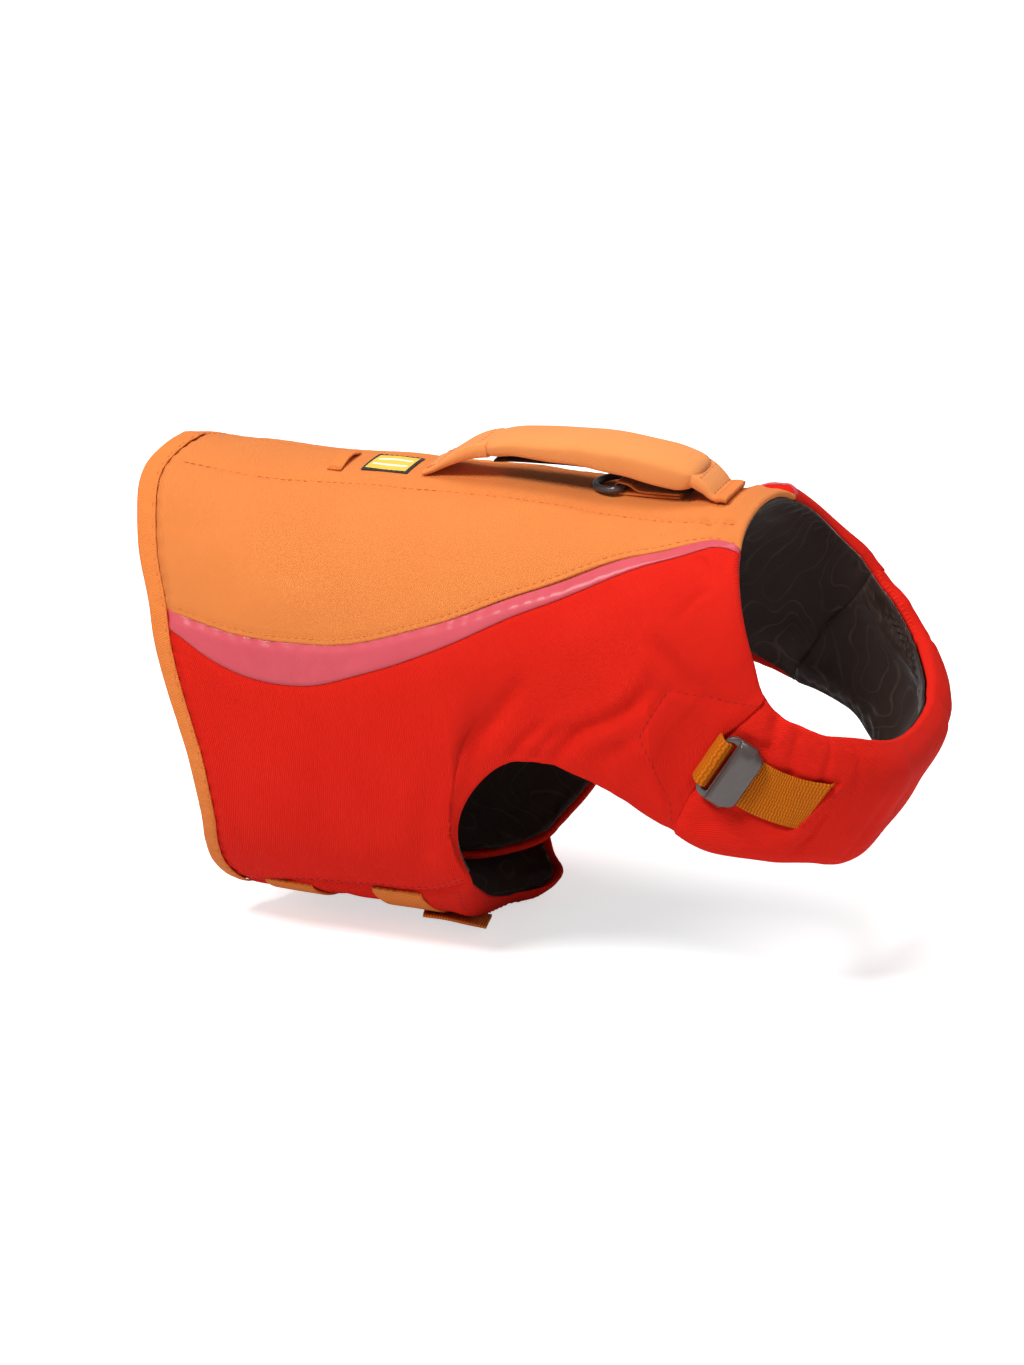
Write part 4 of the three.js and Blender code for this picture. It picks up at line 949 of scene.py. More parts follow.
def side_place(side, sections):
    top = np.stack([yoke[:, 0], yoke[:, 1] + HALF_GAP], -1)
    pieces = [along(line, shares)[:-1] for line, shares in zip(sections, section_shares)]
    bottom = np.vstack([*pieces, along(sections[-1], [1.0])])
    down = eased(82, start=0.7, end=0.78)
    rear_turn = top[0, 1] + (bottom[0, 1] - top[0, 1]) * down
    neck_turn = top[-1, 1] + (bottom[-1, 1] - top[-1, 1]) * down
    rear = np.stack([read(REAR_EDGE, 0, rear_turn, 1), rear_turn], -1)
    neck_x = far_neck_edge(neck_turn) if side > 0 else read(NECK_EDGE, 0, neck_turn, 1)
    neck = np.stack([neck_x, neck_turn], -1)
    place = coons(top, bottom, rear, neck, down)
    place[..., 1] *= side
    return place


def build_side(name, side, sections, creases, wrinkles, seed, hem_kind):
    place = side_place(side, sections)
    x, turn = place[..., 0], place[..., 1]
    band_turn = read(BAND_EDGE, 0, x, 1)
    on_band = smooth((band_turn - np.abs(turn)) * GIRTH_HALF / 1.2)
    lift = rear_shoulder(x, turn * GIRTH_HALF)
    if side > 0:
        lift = lift + read(TUCK, 0, np.abs(turn), 1) * smooth((20 - x) / 60)
        lift = lift + 6.0 * bell(turn - 0.48, 0.16) * smooth((x - 48) / 24)
    else:
        lift = lift + rear_low_corner(x, turn)
    leg = SEAM_COLS + LEG_COLS
    p = panel(place, lift, {
        "top": "seam",
        "bottom": [(hem_kind, 0, SEAM_COLS), ("free", SEAM_COLS, leg), ("seam", leg, COLS)],
        "rear": "bound",
        "neck": "free",
    })
    crease = creased(x, turn, creases) + on_band * creased(x, turn, wrinkles)
    down = np.abs(turn) * GIRTH_HALF
    if side < 0:
        off, share = path_distance(x, down, PATCH_RIGHT, straight=True)
        crease = crease + 0.9 * bell(off, 1.5) * smooth(share / 0.06) * smooth((1 - share) / 0.08)
    flap = smooth((x - 45) / 4) * smooth((down - 128) / 12)
    crease = crease - flap * (1.2 * fade(p["seam"] / 5.5) + 1.4 * np.exp(-p["seam"] / 8))
    crease = crease + 0.35 * on_band
    crease = crease + 0.5 * bell((np.abs(turn) - band_turn) * GIRTH_HALF, 1.3) * smooth((p["bound"] - 9) / 5)
    shell(name + "_shell", p, 6.6, crease, red_twill, [name + "_panel"], 0.6, "red_cloth", seed=seed,
          swell=neck_roll(p, 1.6 if side < 0 else 3.4 + 2.6 * bell(down - 150, 40)))
    return p


right = build_side("right_side", -1, [BELLY_SEAM, LEG_EDGE_RIGHT, FLAP_EDGE_RIGHT], RIGHT_CREASES,
                   RIGHT_BAND_WRINKLES, 11, "seam")
left = build_side("left_side", 1, [HEM_LEFT, LEG_EDGE_LEFT, FLAP_EDGE_LEFT], LEFT_CREASES,
                  LEFT_BAND_WRINKLES, 31, "free")


def build_band(name, p):
    """The smooth band under the yoke, a thin cloth on the side panel."""
    cols, rows = p["x"].shape
    start = int(np.argmax(p["bound"][:, 3] > 8.5))
    turn = np.abs(p["turn"])
    edge = read(BAND_EDGE, 0, p["x"], 1)
    columns = np.arange(start, cols)
    wide = np.array([max(np.interp(0.0, turn[c] - edge[c], np.arange(rows)), 3.0) for c in columns])
    count = 15
    i = np.repeat(columns[:, None].astype(float), count, 1)
    j = wide[:, None] * np.linspace(0, 1, count)[None]
    take = lambda key: sample(p[key], i, j)
    out = unit(take("out"))
    offset = take("outer") + SEAM_GAP * 0.5
    share = np.linspace(0, 1, count)[None]
    rim = edge_round(np.minimum(share, share[:, ::-1]) * 12, 0.8)
    face = take("base") + out * (offset + BAND_WALL - rim * 0.3)[..., None]
    under = take("base") + out * offset[..., None]
    piece = walled(name + "_band", face, under, take("place"), pink_band, [name + "_shiny_band"],
                   "shiny_band")
    declare_cloth((face + under) / 2)


build_band("right_side", right)
build_band("left_side", left)

CHEST_COLS, CHEST_ROWS = 84, 210
FLAP_LAP = 1.6
SLIDER_SPOT = (66.6, 0.5325)
SLIT_SPOT = (75.9, 0.6765)
STRAP_START = skin(SLIDER_SPOT[0], -SLIDER_SPOT[1])
STRAP_AHEAD = unit(skin(SLIT_SPOT[0], -SLIT_SPOT[1]) - STRAP_START)
STRAP_ACROSS = unit(np.cross(outward(71.0, -0.605), STRAP_AHEAD))
STRAP_LENGTH = float(np.linalg.norm(skin(SLIT_SPOT[0], -SLIT_SPOT[1]) - STRAP_START))
SLIT_SLANT = 0.37


def strap_place(u, w):
    """Places (x, share down) at u mm along the neck strap's line and w mm across it."""
    x, down = 68.0 + 0 * u, 0.56 + 0.003 * u
    for _ in range(10):
        spot = skin(x, -down)
        miss_u = u - (spot - STRAP_START) @ STRAP_AHEAD
        miss_w = w - (spot - STRAP_START) @ STRAP_ACROSS
        by_x, by_down = (skin(x + 0.1, -down) - spot) / 0.1, (skin(x, -down - 0.001) - spot) / 0.001
        a, b = by_x @ STRAP_AHEAD, by_down @ STRAP_AHEAD
        c, d = by_x @ STRAP_ACROSS, by_down @ STRAP_ACROSS
        size = a * d - b * c
        x = x + (miss_u * d - miss_w * b) / size
        down = down + (a * miss_w - c * miss_u) / size
    return np.stack([x, down], -1)


def on_side(places, side):
    """The same places as (x, turn) on the chest panel's right (-1) or left (1)."""
    return np.stack([places[:, 0], -places[:, 1] if side < 0 else places[:, 1] - 2], -1)


def strap_sag(u):
    share = np.clip(u / STRAP_LENGTH, 0, 1)
    return -9.2 * share * (1 - share)


def slit_at(w):
    return STRAP_LENGTH + SLIT_SLANT * w


def strap_bed(x, around):
    """The hollow that the neck strap and slider lie in, ending at the slit that the strap enters."""
    off = skin(x, -around) - STRAP_START
    u, w = off @ STRAP_AHEAD, off @ STRAP_ACROSS
    facing = smooth((0.9 - around) / 0.1)
    away = np.abs(w - strap_sag(u))
    slit = slit_at(w)
    step = smooth((u - slit + 0.9) / 1.8)
    bed = smooth((u + 6) / 8) * fade((away - 12.6) / 3.4)
    seat = fade((np.abs(u) - 10.5) / 5) * fade((np.abs(w) - 16.5) / 4)
    lip = np.exp(-np.maximum(u - slit, 0) / 7) * fade((away - 12) / 5)
    rim = bell(away - 18, 3.6) * smooth((u - 11) / 5) * fade((u - slit - 3) / 7)
    return facing * (np.maximum(1.5 * bed, 1.7 * seat) * (1 - step) - 1.0 * lip * step - 0.6 * rim)


def build_chest():
    shares = eased(CHEST_COLS, start=0.75, end=0.75)
    right_flap = along(FLAP_EDGE_RIGHT, 1 - shares)
    left_flap = along(FLAP_EDGE_LEFT, 1 - shares) * [1, -1] + [0, 2]
    around = eased(CHEST_ROWS, start=0.5, end=0.5)
    neck_turn = right_flap[0, 1] + (left_flap[0, 1] - right_flap[0, 1]) * around
    neck_down = np.where(neck_turn > 1, 2 - neck_turn, neck_turn)
    neck_x = np.where(neck_turn > 1, far_neck_edge(neck_down), read(NECK_EDGE, 0, neck_down, 1))
    neck = np.stack([neck_x, neck_turn], -1)
    hem = along(CHEST_HEM, around)
    place = coons(neck, hem, right_flap, left_flap, shares)
    place = np.swapaxes(place, 0, 1)
    place[:, 0, 1] -= FLAP_LAP / GIRTH_HALF
    place[:, -1, 1] += FLAP_LAP / GIRTH_HALF
    place[..., 1] *= -1
    x, turn = place[..., 0], place[..., 1]
    around = 1 - np.abs(np.abs(turn) - 1)
    keel = bell(around - 0.86, 0.14)
    low = bell(around - 0.66, 0.11) * fade((x - 60) / 12)
    front = bell(1 - around, 0.16) * bell(x - 79, 9)
    far_side = bell(np.abs(turn) - 1.52, 0.24) * smooth((x - 48) / 24)
    lift = 6.2 * far_side + 2.2 * keel * fade((x - 70) / 9) + 2.6 * low - 4.6 * front
    p = panel(place, lift, {"rear": "free", "neck": "free", "top": "seam", "bottom": "seam"})
    far = smooth((np.abs(turn) - 1.0) / 0.3)
    crease = creased(x, turn, [
        ([(81, 0.56), (77, 0.585), (74, 0.61)], 3.5, 1.1),
        ([(85, 0.64), (80, 0.65), (76, 0.655)], 3.6, 0.7),
        ([(86, 0.72), (81, 0.73), (77, 0.72)], 5.5, 0.6),
        ([(71, 0.72), (74, 0.71), (77, 0.7)], 3.5, 1.2),
        ([(60, 0.58), (64, 0.6), (68, 0.64), (72, 0.68)], 5, 1.1),
        ([(80, 0.86), (77, 0.84), (73, 0.85)], 6, 0.8),
        ([(86, 0.92), (82, 0.95), (78, 1.0)], 7, 0.9),
        ([(81, 1.43), (77, 1.41), (74, 1.38)], 3.5, 1.1),
        ([(85, 1.35), (80, 1.34), (76, 1.33)], 4, 1.1),
        ([(71, 1.28), (75, 1.26), (79, 1.27)], 4, 1.0),
        ([(86, 1.14), (82, 1.12), (76, 1.15)], 7, 0.9),
        ([(80, 0.515), (77, 0.53), (74, 0.545)], 3.5, 1.8),
        ([(80, 1.485), (77, 1.47), (74, 1.455)], 3.5, 1.6),
        ([(52, 0.56), (56, 0.585), (60, 0.6)], 4.5, 1.5),
    ])
    crease = crease + strap_bed(x, around)
    shell("chest_shell", p, 8.4, crease, red_twill, ["chest_panel"], 0.75, "red_cloth",
          seed=51, seam_drop=1.4, seam_round=6, puff=1.3,
          swell=neck_roll(p, 1.2 + far * (2.0 + 2.8 * bell(np.abs(turn) - 1.5, 0.14))))
    return p


chest = build_chest()
BELLY_ROWS = 120


def build_belly():
    seam = along(BELLY_SEAM, eased(SEAM_COLS, start=0.4, end=0.5))
    top_left = along(BELLY_TOP_LEFT, np.linspace(0, 1, SEAM_COLS + 1))
    down = eased(BELLY_ROWS, start=0.4, end=0.75)
    place = coons(seam, top_left, along(BELLY_REAR, down), along(BELLY_FRONT, down), down)
    place[:, 0, 1] -= 1.3 / GIRTH_HALF
    place[..., 1] *= -1
    x, turn = place[..., 0], place[..., 1]
    down = np.abs(turn) * GIRTH_HALF
    nose = 7.6 * bell(x + 45, 22) * bell(down - 313, 42)
    from_front = place[-1:, :, 0] - x
    nose = nose - read(FRONT_TUCK, 0, np.abs(turn), 1) * edge_round(from_front + 0.8, 12)
    lift = read(BELLY_LIFT, 0, np.abs(turn), 1) + nose + rear_low_corner(x, turn)
    p = panel(place, lift, {"top": "seam", "bottom": "free", "rear": "free", "neck": "free"})
    crease = creased(x, turn, [
        ([(-120, 0.84), (-118, 0.92), (-121, 1.0)], 7, 0.8),
        ([(-60, 0.86), (-58, 0.95), (-62, 1.04)], 6, 1.0),
        ([(-165, 0.95), (-162, 1.05), (-166, 1.15)], 7, 0.7),
        ([(-46, 1.12), (-56, 1.16), (-66, 1.22)], 5, 1.0),
        ([(-110, 1.1), (-112, 1.2), (-108, 1.3)], 8, 0.8),
    ])
    shell("belly_shell", p, 4, crease, red_twill, ["belly_panel"], 0.35, "red_cloth", seed=71, puff=0.6,
          seam_drop=1.7)
    return p


belly = build_belly()

leg_on = np.zeros(COLS + 1)
leg_on[SEAM_COLS:SEAM_COLS + LEG_COLS] = 1
leg_inset = 4.6 * np.convolve(np.pad(leg_on, 4, mode="edge"), np.ones(9) / 9, mode="valid")
lining("back_lining_cloth", back, "back_lining", (0, 0, 0.4, 3.6), 101)
lining("right_side_lining_cloth", right, "right_side_lining", (0, leg_inset, 0.4, 3.6), 103)
left_inset = 4.6 * (np.arange(COLS + 1) < SEAM_COLS + LEG_COLS)
lining("left_side_lining_cloth", left, "left_side_lining", (0, left_inset, 0.4, 3.6), 105,
       gather=0.9)
lining("chest_lining_cloth", chest, "chest_lining", (0, 0, 1.0, 1.2), 107, gather=1.3, roll=4.0)
lining("belly_lining_cloth", belly, "belly_lining", (0, 3.0, 1.6, 5.4), 109, gather=1.7)


STITCH_RISE = 0.12


def panel_run(p, places, rise=STITCH_RISE, step=1.2):
    """A run on a panel's outer face through (x, turn) places."""
    path = np.asarray(places, float) * [1, GIRTH_HALF]
    length = length_along(path)
    at = np.linspace(0, length[-1], max(int(length[-1] / step), 2))
    x, turn = (np.interp(at, length, path[:, k]) for k in (0, 1))
    turn = turn / GIRTH_HALF
    flat = np.stack([p["x"].ravel(), p["turn"].ravel() * GIRTH_HALF, np.zeros(p["x"].size)], -1)
    tree = nearest_of(flat)
    outer, base, out = p["outer"].ravel(), p["base"].reshape(-1, 3), p["out"].reshape(-1, 3)
    spots, normals = [], []
    for a, b in zip(x, turn * GIRTH_HALF):
        near = tree.find_n((a, b, 0), 4)
        weight = np.array([1 / (n[2] + 0.05) for n in near])
        weight /= weight.sum()
        index = [n[1] for n in near]
        rise_here = (outer[index] * weight).sum() + rise
        normal = unit((out[index] * weight[:, None]).sum(0))
        k = index[0]
        lift = float((base[k] - skin(p["x"].ravel()[k], p["turn"].ravel()[k])) @ out[k])
        spots.append(skin(a, b / GIRTH_HALF) + normal * (rise_here + lift))
        normals.append(normal)
    return np.array(spots), np.array(normals)


# Rear binding.


def build_binding():
    right_turns = -np.linspace(0.852, 0.343, 150)
    back_turns = np.linspace(-0.343, 0.343, 110)[1:]
    left_turns = np.linspace(0.343, 0.955, 190)[1:]
    turn = np.concatenate([right_turns, back_turns, left_turns])
    x = read(REAR_EDGE, 0, np.abs(turn), 1)
    tuck = np.where(turn > 0, read(TUCK, 0, np.abs(turn), 1), rear_low_corner(x, turn))
    tuck = tuck + rear_shoulder(x, turn * GIRTH_HALF)
    depth = EDGE_DROP + EDGE_WALL + SEAM_GAP + 1.5
    low, high = -depth - SEAM_GAP, -EDGE_DROP + SEAM_GAP
    middle, half = (low + high) / 2, (high - low) / 2
    wall = 0.75
    top = high + wall
    outline = [(9.5, high + 0.1, 0), (9.5, high + wall * 0.7, 1), (9.1, top, 1), (8.2, top + 0.05, 1)]
    outline += [(s, top + 0.25, 1) for s in (7.4, 6, 4.5, 3)]
    outline += [(1.6, top + 0.15, 1)]
    for angle in np.linspace(80, 280, 11):
        a = math.radians(angle)
        outline.append((0.2 + 1.5 * math.cos(a), middle + (half + wall) * math.sin(a), 1))
    outline += [(s, low - wall - 0.1, 2) for s in (1.6, 3.4, 5.4, 7.4, 9.0)]
    outline += [(9.5, low - wall * 0.6, 2), (9.5, low, 0)]
    outline += [(6, low, 0), (3, low, 0), (0.4, low + 0.2, 0), (-0.25, middle, 0)]
    outline += [(0.4, high - 0.2, 0), (3, high, 0), (6, high, 0)]
    sections = []
    arc = length_along(skin(x, turn))
    for along_x, up, kind in outline:
        ripple = 0.16 * cycle(arc / 8.2 + 0.5 * drift(arc, 0 * arc, 40, 9))
        ripple = ripple * (kind == 1) * min(along_x / 4, 1)
        slack = 0.35 * drift(arc, arc * 0, 70, 13) * (along_x > 8 and kind > 0)
        sections.append(lifted(x + along_x + slack, turn, tuck + up + ripple))
    grid = np.stack(sections, 1)
    wrap = np.concatenate([[0], np.cumsum(np.linalg.norm(np.diff(grid, axis=1), axis=2).mean(0))])
    piece = tube("rear_binding_tape", grid, arc, wrap, orange_tape, "rear_binding", "orange_cloth")
    return x, turn, tuck, top


binding = build_binding()


# Straps.

WEBBING_WIDTH = 25
REAR_STRAP_X, FRONT_STRAP_X = -150, -80


def rounded_section(width, thickness):
    """Half widths and heights round a strap's rounded section, its underside at zero."""
    radius = thickness / 2
    reach = width / 2 - radius
    points = []
    for side, height, start in ((1, 0.0, -90), (-1, thickness, 90)):
        points += [(side * a, height) for a in np.linspace(-reach, reach, 9)]
        for angle in np.radians([start + 45, start + 90, start + 135]):
            points.append((side * reach + radius * math.cos(angle), radius + radius * math.sin(angle)))
    return np.array(points)


def refined(points, count):
    """Points on a smooth line through the given ones, evenly apart."""
    p = np.asarray(points, float)
    key = length_along(p[:, :3])
    at = np.linspace(0, key[-1], count)
    rows = np.column_stack([key, p])
    return np.stack([read(rows, 0, at, k + 1) for k in range(p.shape[1])], -1)


def strap(name, spots, width, thickness, material, node, slot, count=60, held="stretched", rests_on=(),
          wave=0.0, slant=0.0, dip=0.0, deeper=(0, 0)):
    """A flat strap along spots, each a point and its outward direction. It waves up and down, its end can
    slant and dip, and its underside can be deeper at its start and end."""
    rows = refined(np.hstack([[s[0] for s in spots], [s[1] for s in spots]]), count)
    centre, up = rows[:, :3], unit(rows[:, 3:6])
    forward = unit(np.gradient(centre, axis=0))
    across = unit(np.cross(up, forward))
    up = np.cross(forward, across)
    section = rounded_section(width, thickness)
    run = length_along(centre)
    uneven = wave * drift(run[:, None], section[None, :, 0] * 0.6, 26, 5)
    end = smooth((run - run[-1] + 16) / 16)[:, None]
    shift = -slant * section[None, :, 0] * end
    share = smooth(run / run[-1])[:, None]
    sunk = deeper[0] * (1 - share) + deeper[1] * share
    uneven = uneven - sunk * (1 - section[None, :, 1] / thickness)
    uneven = uneven - dip * smooth((run[:, None] - run[-1] + 3.0) / 2.2)
    grid = (centre[:, None] + across[:, None] * section[None, :, 0:1]
            + up[:, None] * (section[None, :, 1:2] + uneven[..., None])
            + forward[:, None] * shift[..., None])
    piece = tube(name, grid, run, section[:, 0], material, node, slot)
    return centre, across, up, run


def skin_spots(rows, side=1):
    return [(lifted(x, side * turn, lift), outward(x, side * turn)) for x, turn, lift in rows]


def belly_strap(name, x, first):
    """A strap from the belly's seam round to the buckle, lying on the belly's cloth."""
    spots, outs = panel_run(belly, [(x, -first), (x, -1.384)], 0.1, 3.0)
    spots = list(zip(spots, outs)) + skin_spots([(x, 1.405, 6.9), (x, 1.4235, 4.8)], -1)
    strap(name + "_webbing", spots, WEBBING_WIDTH, 1.5, belly_webbing, name, "orange_webbing",
          count=170, rests_on=["belly_shell"], wave=0.12)


belly_strap("rear_belly_strap", REAR_STRAP_X, 0.806)
belly_strap("front_belly_strap", FRONT_STRAP_X, 0.77)
strap("front_strap_tail_webbing",
      skin_spots([(-80, 0.91, 3.2), (-71, 0.918, 3.4), (-60, 0.928, 4.2), (-46, 0.938, 5.2)], -1),
      WEBBING_WIDTH, 1.6, belly_webbing, "front_strap_tail", "orange_webbing", count=40, held="hung",
      rests_on=["front_belly_strap_webbing"], wave=0.2)
for name, x in (("rear", REAR_STRAP_X), ("front", FRONT_STRAP_X)):
    spots = skin_spots([(x, 0.43, -0.3), (x, 0.45, 0.4), (x, 0.463, 1.6)])
    strap(name + "_buckle_stub_webbing", spots, WEBBING_WIDTH, 1.7, webbing, name + "_buckle_stub",
          "orange_webbing", count=16, rests_on=["left_side_shell"])

SLIDER_AIM = (74.6, 0.62)
SLIDER_LIFT = 1.6
SLIDER_TURN = math.radians(14)


def slider_frame(side):
    """The slider's place and its directions: along the strap, across it and outwards."""
    x, turn = SLIDER_SPOT
    spot = lifted(x, side * turn, SLIDER_LIFT)
    up = outward(x, side * turn)
    ahead = skin(SLIDER_AIM[0], side * SLIDER_AIM[1]) - spot
    ahead = unit(ahead - up * (ahead @ up))
    across = np.cross(up, ahead)
    cosine, sine = math.cos(SLIDER_TURN), math.sin(SLIDER_TURN) * side
    ahead, across = ahead * cosine + across * sine, across * cosine - ahead * sine
    return spot, ahead, across, up


def neck_straps():
    for name, side in (("right", -1), ("left", 1)):
        spot, ahead, _, up = slider_frame(side)
        bend = [(-14.0, -5.2), (-12.7, -3.4), (-11.7, -1.2), (-10.8, 1.0), (-9.8, 2.6), (-8.5, 3.0),
                (-7.3, 2.0), (-6.7, 0.2)]
        tilt = [1.5, 1.6, 1.6, 1.1, 0.4, -0.3, -1.2, -2.0]
        spots = [(spot + ahead * u + up * w, unit(up - ahead * t)) for (u, w), t in zip(bend, tilt)]
        strap(name + "_neck_short_cloth", spots, 24.6, 1.5, webbing, name + "_neck_webbing_short",
              "orange_webbing", count=34, rests_on=["chest_shell"])
        u = np.linspace(5, STRAP_LENGTH - 1.5, 9)
        points, outs = panel_run(chest, on_side(strap_place(u, strap_sag(u)), side), 0.75, 2.0)
        ahead = unit(points[-1] - points[-3])
        points = np.vstack([points, points[-1] + ahead * 2, points[-1] + ahead * 4])
        outs = np.vstack([outs, outs[-1], outs[-1]])
        strap(name + "_neck_long_cloth", list(zip(points, outs)), WEBBING_WIDTH, 1.5, webbing,
              name + "_neck_webbing_long", "orange_webbing", count=70, rests_on=["chest_shell"], wave=0.1,
              slant=SLIT_SLANT * side, dip=3.2)


neck_straps()

# Handle.

# x, z of the middle, half width, half depth and how far the two long edges hang below.
GRIP = np.array([
    [-47, 25.4, 13, 4.2, 0], [-43, 26.7, 13.8, 4.9, 0.2], [-34, 28.4, 14.4, 5.5, 0.6],
    [-18, 29.7, 15.2, 5.9, 1.8], [2, 30.5, 15.8, 6.0, 3.2], [20, 29.9, 16, 6.2, 4.2],
    [36, 27.2, 15.8, 7.2, 3.8], [46, 25.2, 15, 7.2, 2.8], [51, 23.9, 14.2, 6.6, 1.6],
    [54, 22.4, 13.2, 5.6, 0.6],
], float)


def spine_z(x):
    return float(read(RINGS, 0, x, 1))


def grip_form():
    """Rings of points round the padded grip, its two ends closing in."""
    count, sides, shrink = 64, 64, 0.25
    rear, front = -47.3, 54.2
    xs = np.linspace(rear, front, count)
    z, half, deep, hang = (read(GRIP, 0, xs, k) for k in (1, 2, 3, 4))
    end = np.clip(np.minimum(xs - rear, front - xs) / 4.5, 0, 1)
    close = 0.72 + 0.28 * np.sqrt(end * (2 - end))
    slope = np.gradient(z, xs)
    ahead = unit(np.stack([np.ones(count), 0 * xs, slope], -1))
    up = np.stack([-ahead[:, 2], 0 * xs, ahead[:, 0]], -1)
    angle = np.linspace(0, 2 * np.pi, sides, endpoint=False)
    c, s = np.cos(angle), np.sin(angle)
    wide = np.sign(c) * np.abs(c) ** 0.8
    tall = np.sign(s) * np.abs(s) ** 0.8
    seam = 1 - 0.05 * bell(np.abs(c) - 1, 0.02)
    crumple = 0.22 * drift(xs[:, None], 40 * wide[None], 24, 17)
    grid = np.stack([xs, 0 * xs, z], -1)[:, None] + np.zeros((1, sides, 1))
    grid = grid + up[:, None] * (((deep - shrink) * close)[:, None] * tall[None] * seam + crumple)[..., None]
    grid[..., 1] += ((half - shrink) * close)[:, None] * wide[None]
    edge = smooth((np.abs(wide) - 0.74) / 0.2) * smooth((0.25 - s) / 0.6)
    grid[..., 2] -= hang[:, None] * edge[None]
    return grid


def build_grip():
    grid = grip_form()
    around = length_along(grid[len(grid) // 2])
    piece = tube("handle_grip_roll", grid, grid[:, 0, 0], around, handle_twill_painted_highlight, "handle_grip", "orange_cloth")


build_grip()


def upright_spots(path):
    p = np.array([(x, 0, z) for x, z in path], float)
    ahead = unit(np.gradient(p, axis=0))
    up = np.stack([-ahead[:, 2], 0 * p[:, 0], ahead[:, 0]], -1)
    return list(zip(p, up))


def sewn_strap(name, path, width, thickness, material, node, slot, count, **more):
    spots = [(p - n * thickness / 2, n) for p, n in upright_spots(path)]
    return strap(name, spots, width, thickness, material, node, slot, count=count, **more)


HANDLE_WIDTH = 26
FOOT_WALL, FOLD_WALL = 2.6, 3.2
backing_path = [(row[0], row[1] - row[3] - 1) for row in GRIP[1:-1]]
sewn_strap("handle_underside_cloth", backing_path, 20, 1.2, handle_lining, "handle_backing", "lining_cloth",
           60, rests_on=["handle_grip_roll"], wave=0.1)
rear_foot = sewn_strap(
    "handle_rear_foot_cloth",
    [(-77, spine_z(-77) + 1.6), (-72, 14.2), (-66, 18.6), (-60, 22.8), (-54, 26.0), (-49, 27.6),
     (-46, 28.2)],
    HANDLE_WIDTH, FOOT_WALL, handle_twill_painted_highlight, "handle_rear_foot", "orange_cloth", 50,
    rests_on=["back_shell"], wave=0.15, deeper=(0, 4.4))
front_foot = sewn_strap(
    "handle_front_foot_cloth",
    [(52.4, 25.6), (54.9, 24.4), (57.4, 22.6), (60, 20.2), (62.6, spine_z(61.6) + 3.6),
     (65.8, spine_z(65) + 1.8)],
    HANDLE_WIDTH, FOOT_WALL, handle_twill_painted_highlight, "handle_front_foot", "orange_cloth", 30,
    rests_on=["back_shell"], wave=0.12, deeper=(3.6, 0.2))
fold_bar = sewn_strap(
    "handle_fold_bar_cloth",
    [(64.4, spine_z(65) + 2.3), (66, spine_z(66) + 2.5), (68, spine_z(68) + 2.4), (69.6, spine_z(69) + 2.0)],
    27.4, FOLD_WALL, orange_twill, "handle_fold_bar", "orange_cloth", 12, rests_on=["back_shell"])

KEEPER_WALL = 1.2
BAR_X, WIRE = 17.5, 1.7
keeper_floor = spine_z(BAR_X) + 0.4 + KEEPER_WALL / 2
keeper_radius = WIRE + 0.3 + KEEPER_WALL / 2
BAR_Z = keeper_floor + keeper_radius


def build_keeper():
    rest = lambda x: spine_z(x) + 0.5 + KEEPER_WALL / 2
    path = [(x, rest(x)) for x in (46, 40, 34, 24)] + [(BAR_X, keeper_floor)]
    for i in range(1, 13):
        angle = -math.pi / 2 - math.pi * i / 12
        path.append((BAR_X + keeper_radius * math.cos(angle), BAR_Z + keeper_radius * math.sin(angle)))
    path += [(21.5, BAR_Z + 1.9), (26, rest(26) + 1.9)]
    path += [(x, rest(x) + 1.6) for x in (34, 40, 46)]
    sewn_strap("ring_keeper_webbing", path, 17, KEEPER_WALL, orange_tape, "ring_keeper", "orange_cloth", 140,
               held="folded", rests_on=["back_shell"])


build_keeper()
strap("light_loop_tape",
      [(lifted(-120, t, h), outward(-120, t)) for t, h in
       ((-0.044, 0.4), (-0.036, 0.7), (-0.03, 1.0), (-0.012, 2.0), (0.006, 2.0), (0.02, 1.0), (0.03, 0.4))],
      7, 1.2, orange_tape, "light_loop", "orange_cloth", count=40, rests_on=["back_shell"])


LABEL_REAR, LABEL_FRONT = -108, -85
LABEL_RIGHT, LABEL_LEFT = -10.2, 9.9


def from_label_edge(x, down):
    return np.minimum(np.minimum(x - LABEL_REAR, LABEL_FRONT - x),
                      np.minimum(down - LABEL_RIGHT, LABEL_LEFT - down))


def build_label():
    xs = np.linspace(LABEL_REAR, LABEL_FRONT, 47)
    turns = np.linspace(-0.034, 0.033, 41)
    x, turn = np.meshgrid(xs, turns, indexing="ij")
    down = turn * GIRTH_HALF
    edge = from_label_edge(x, down)
    bulge = 0.25 * drift(x, down, 20, 3) * smooth(edge / 3)
    face = lifted(x, turn, 1.35 + bulge - 0.3 * edge_round(edge, 0.6))
    under = lifted(x, turn, 0.75 + bulge)
    cx, cd = (x[:-1, :-1] + x[1:, 1:]) / 2, (down[:-1, :-1] + down[1:, 1:]) / 2
    rim = from_label_edge(cx, cd)
    kinds = np.where(rim < 1.5, 1, 0)
    stripe = (np.abs(cd - 3) < 1.0) | (np.abs(cd + 3) < 1.0)
    kinds = np.where((kinds == 0) & stripe & (rim > 3), 2, kinds)
    face_kinds = np.ones(len(wall_faces(*face.shape[:2])), int)
    face_kinds[:kinds.size] = kinds.reshape(-1)
    places = np.stack([x - LABEL_REAR, down + 11], -1)
    piece = walled("sewn_label", face, under, places, [label_field, label_border, label_stripe], ["label"],
                   "label_cloth", face_kinds=face_kinds)
    declare_cloth((face + under) / 2)


build_label()

# Hard pieces: ring, sliders and buckles.


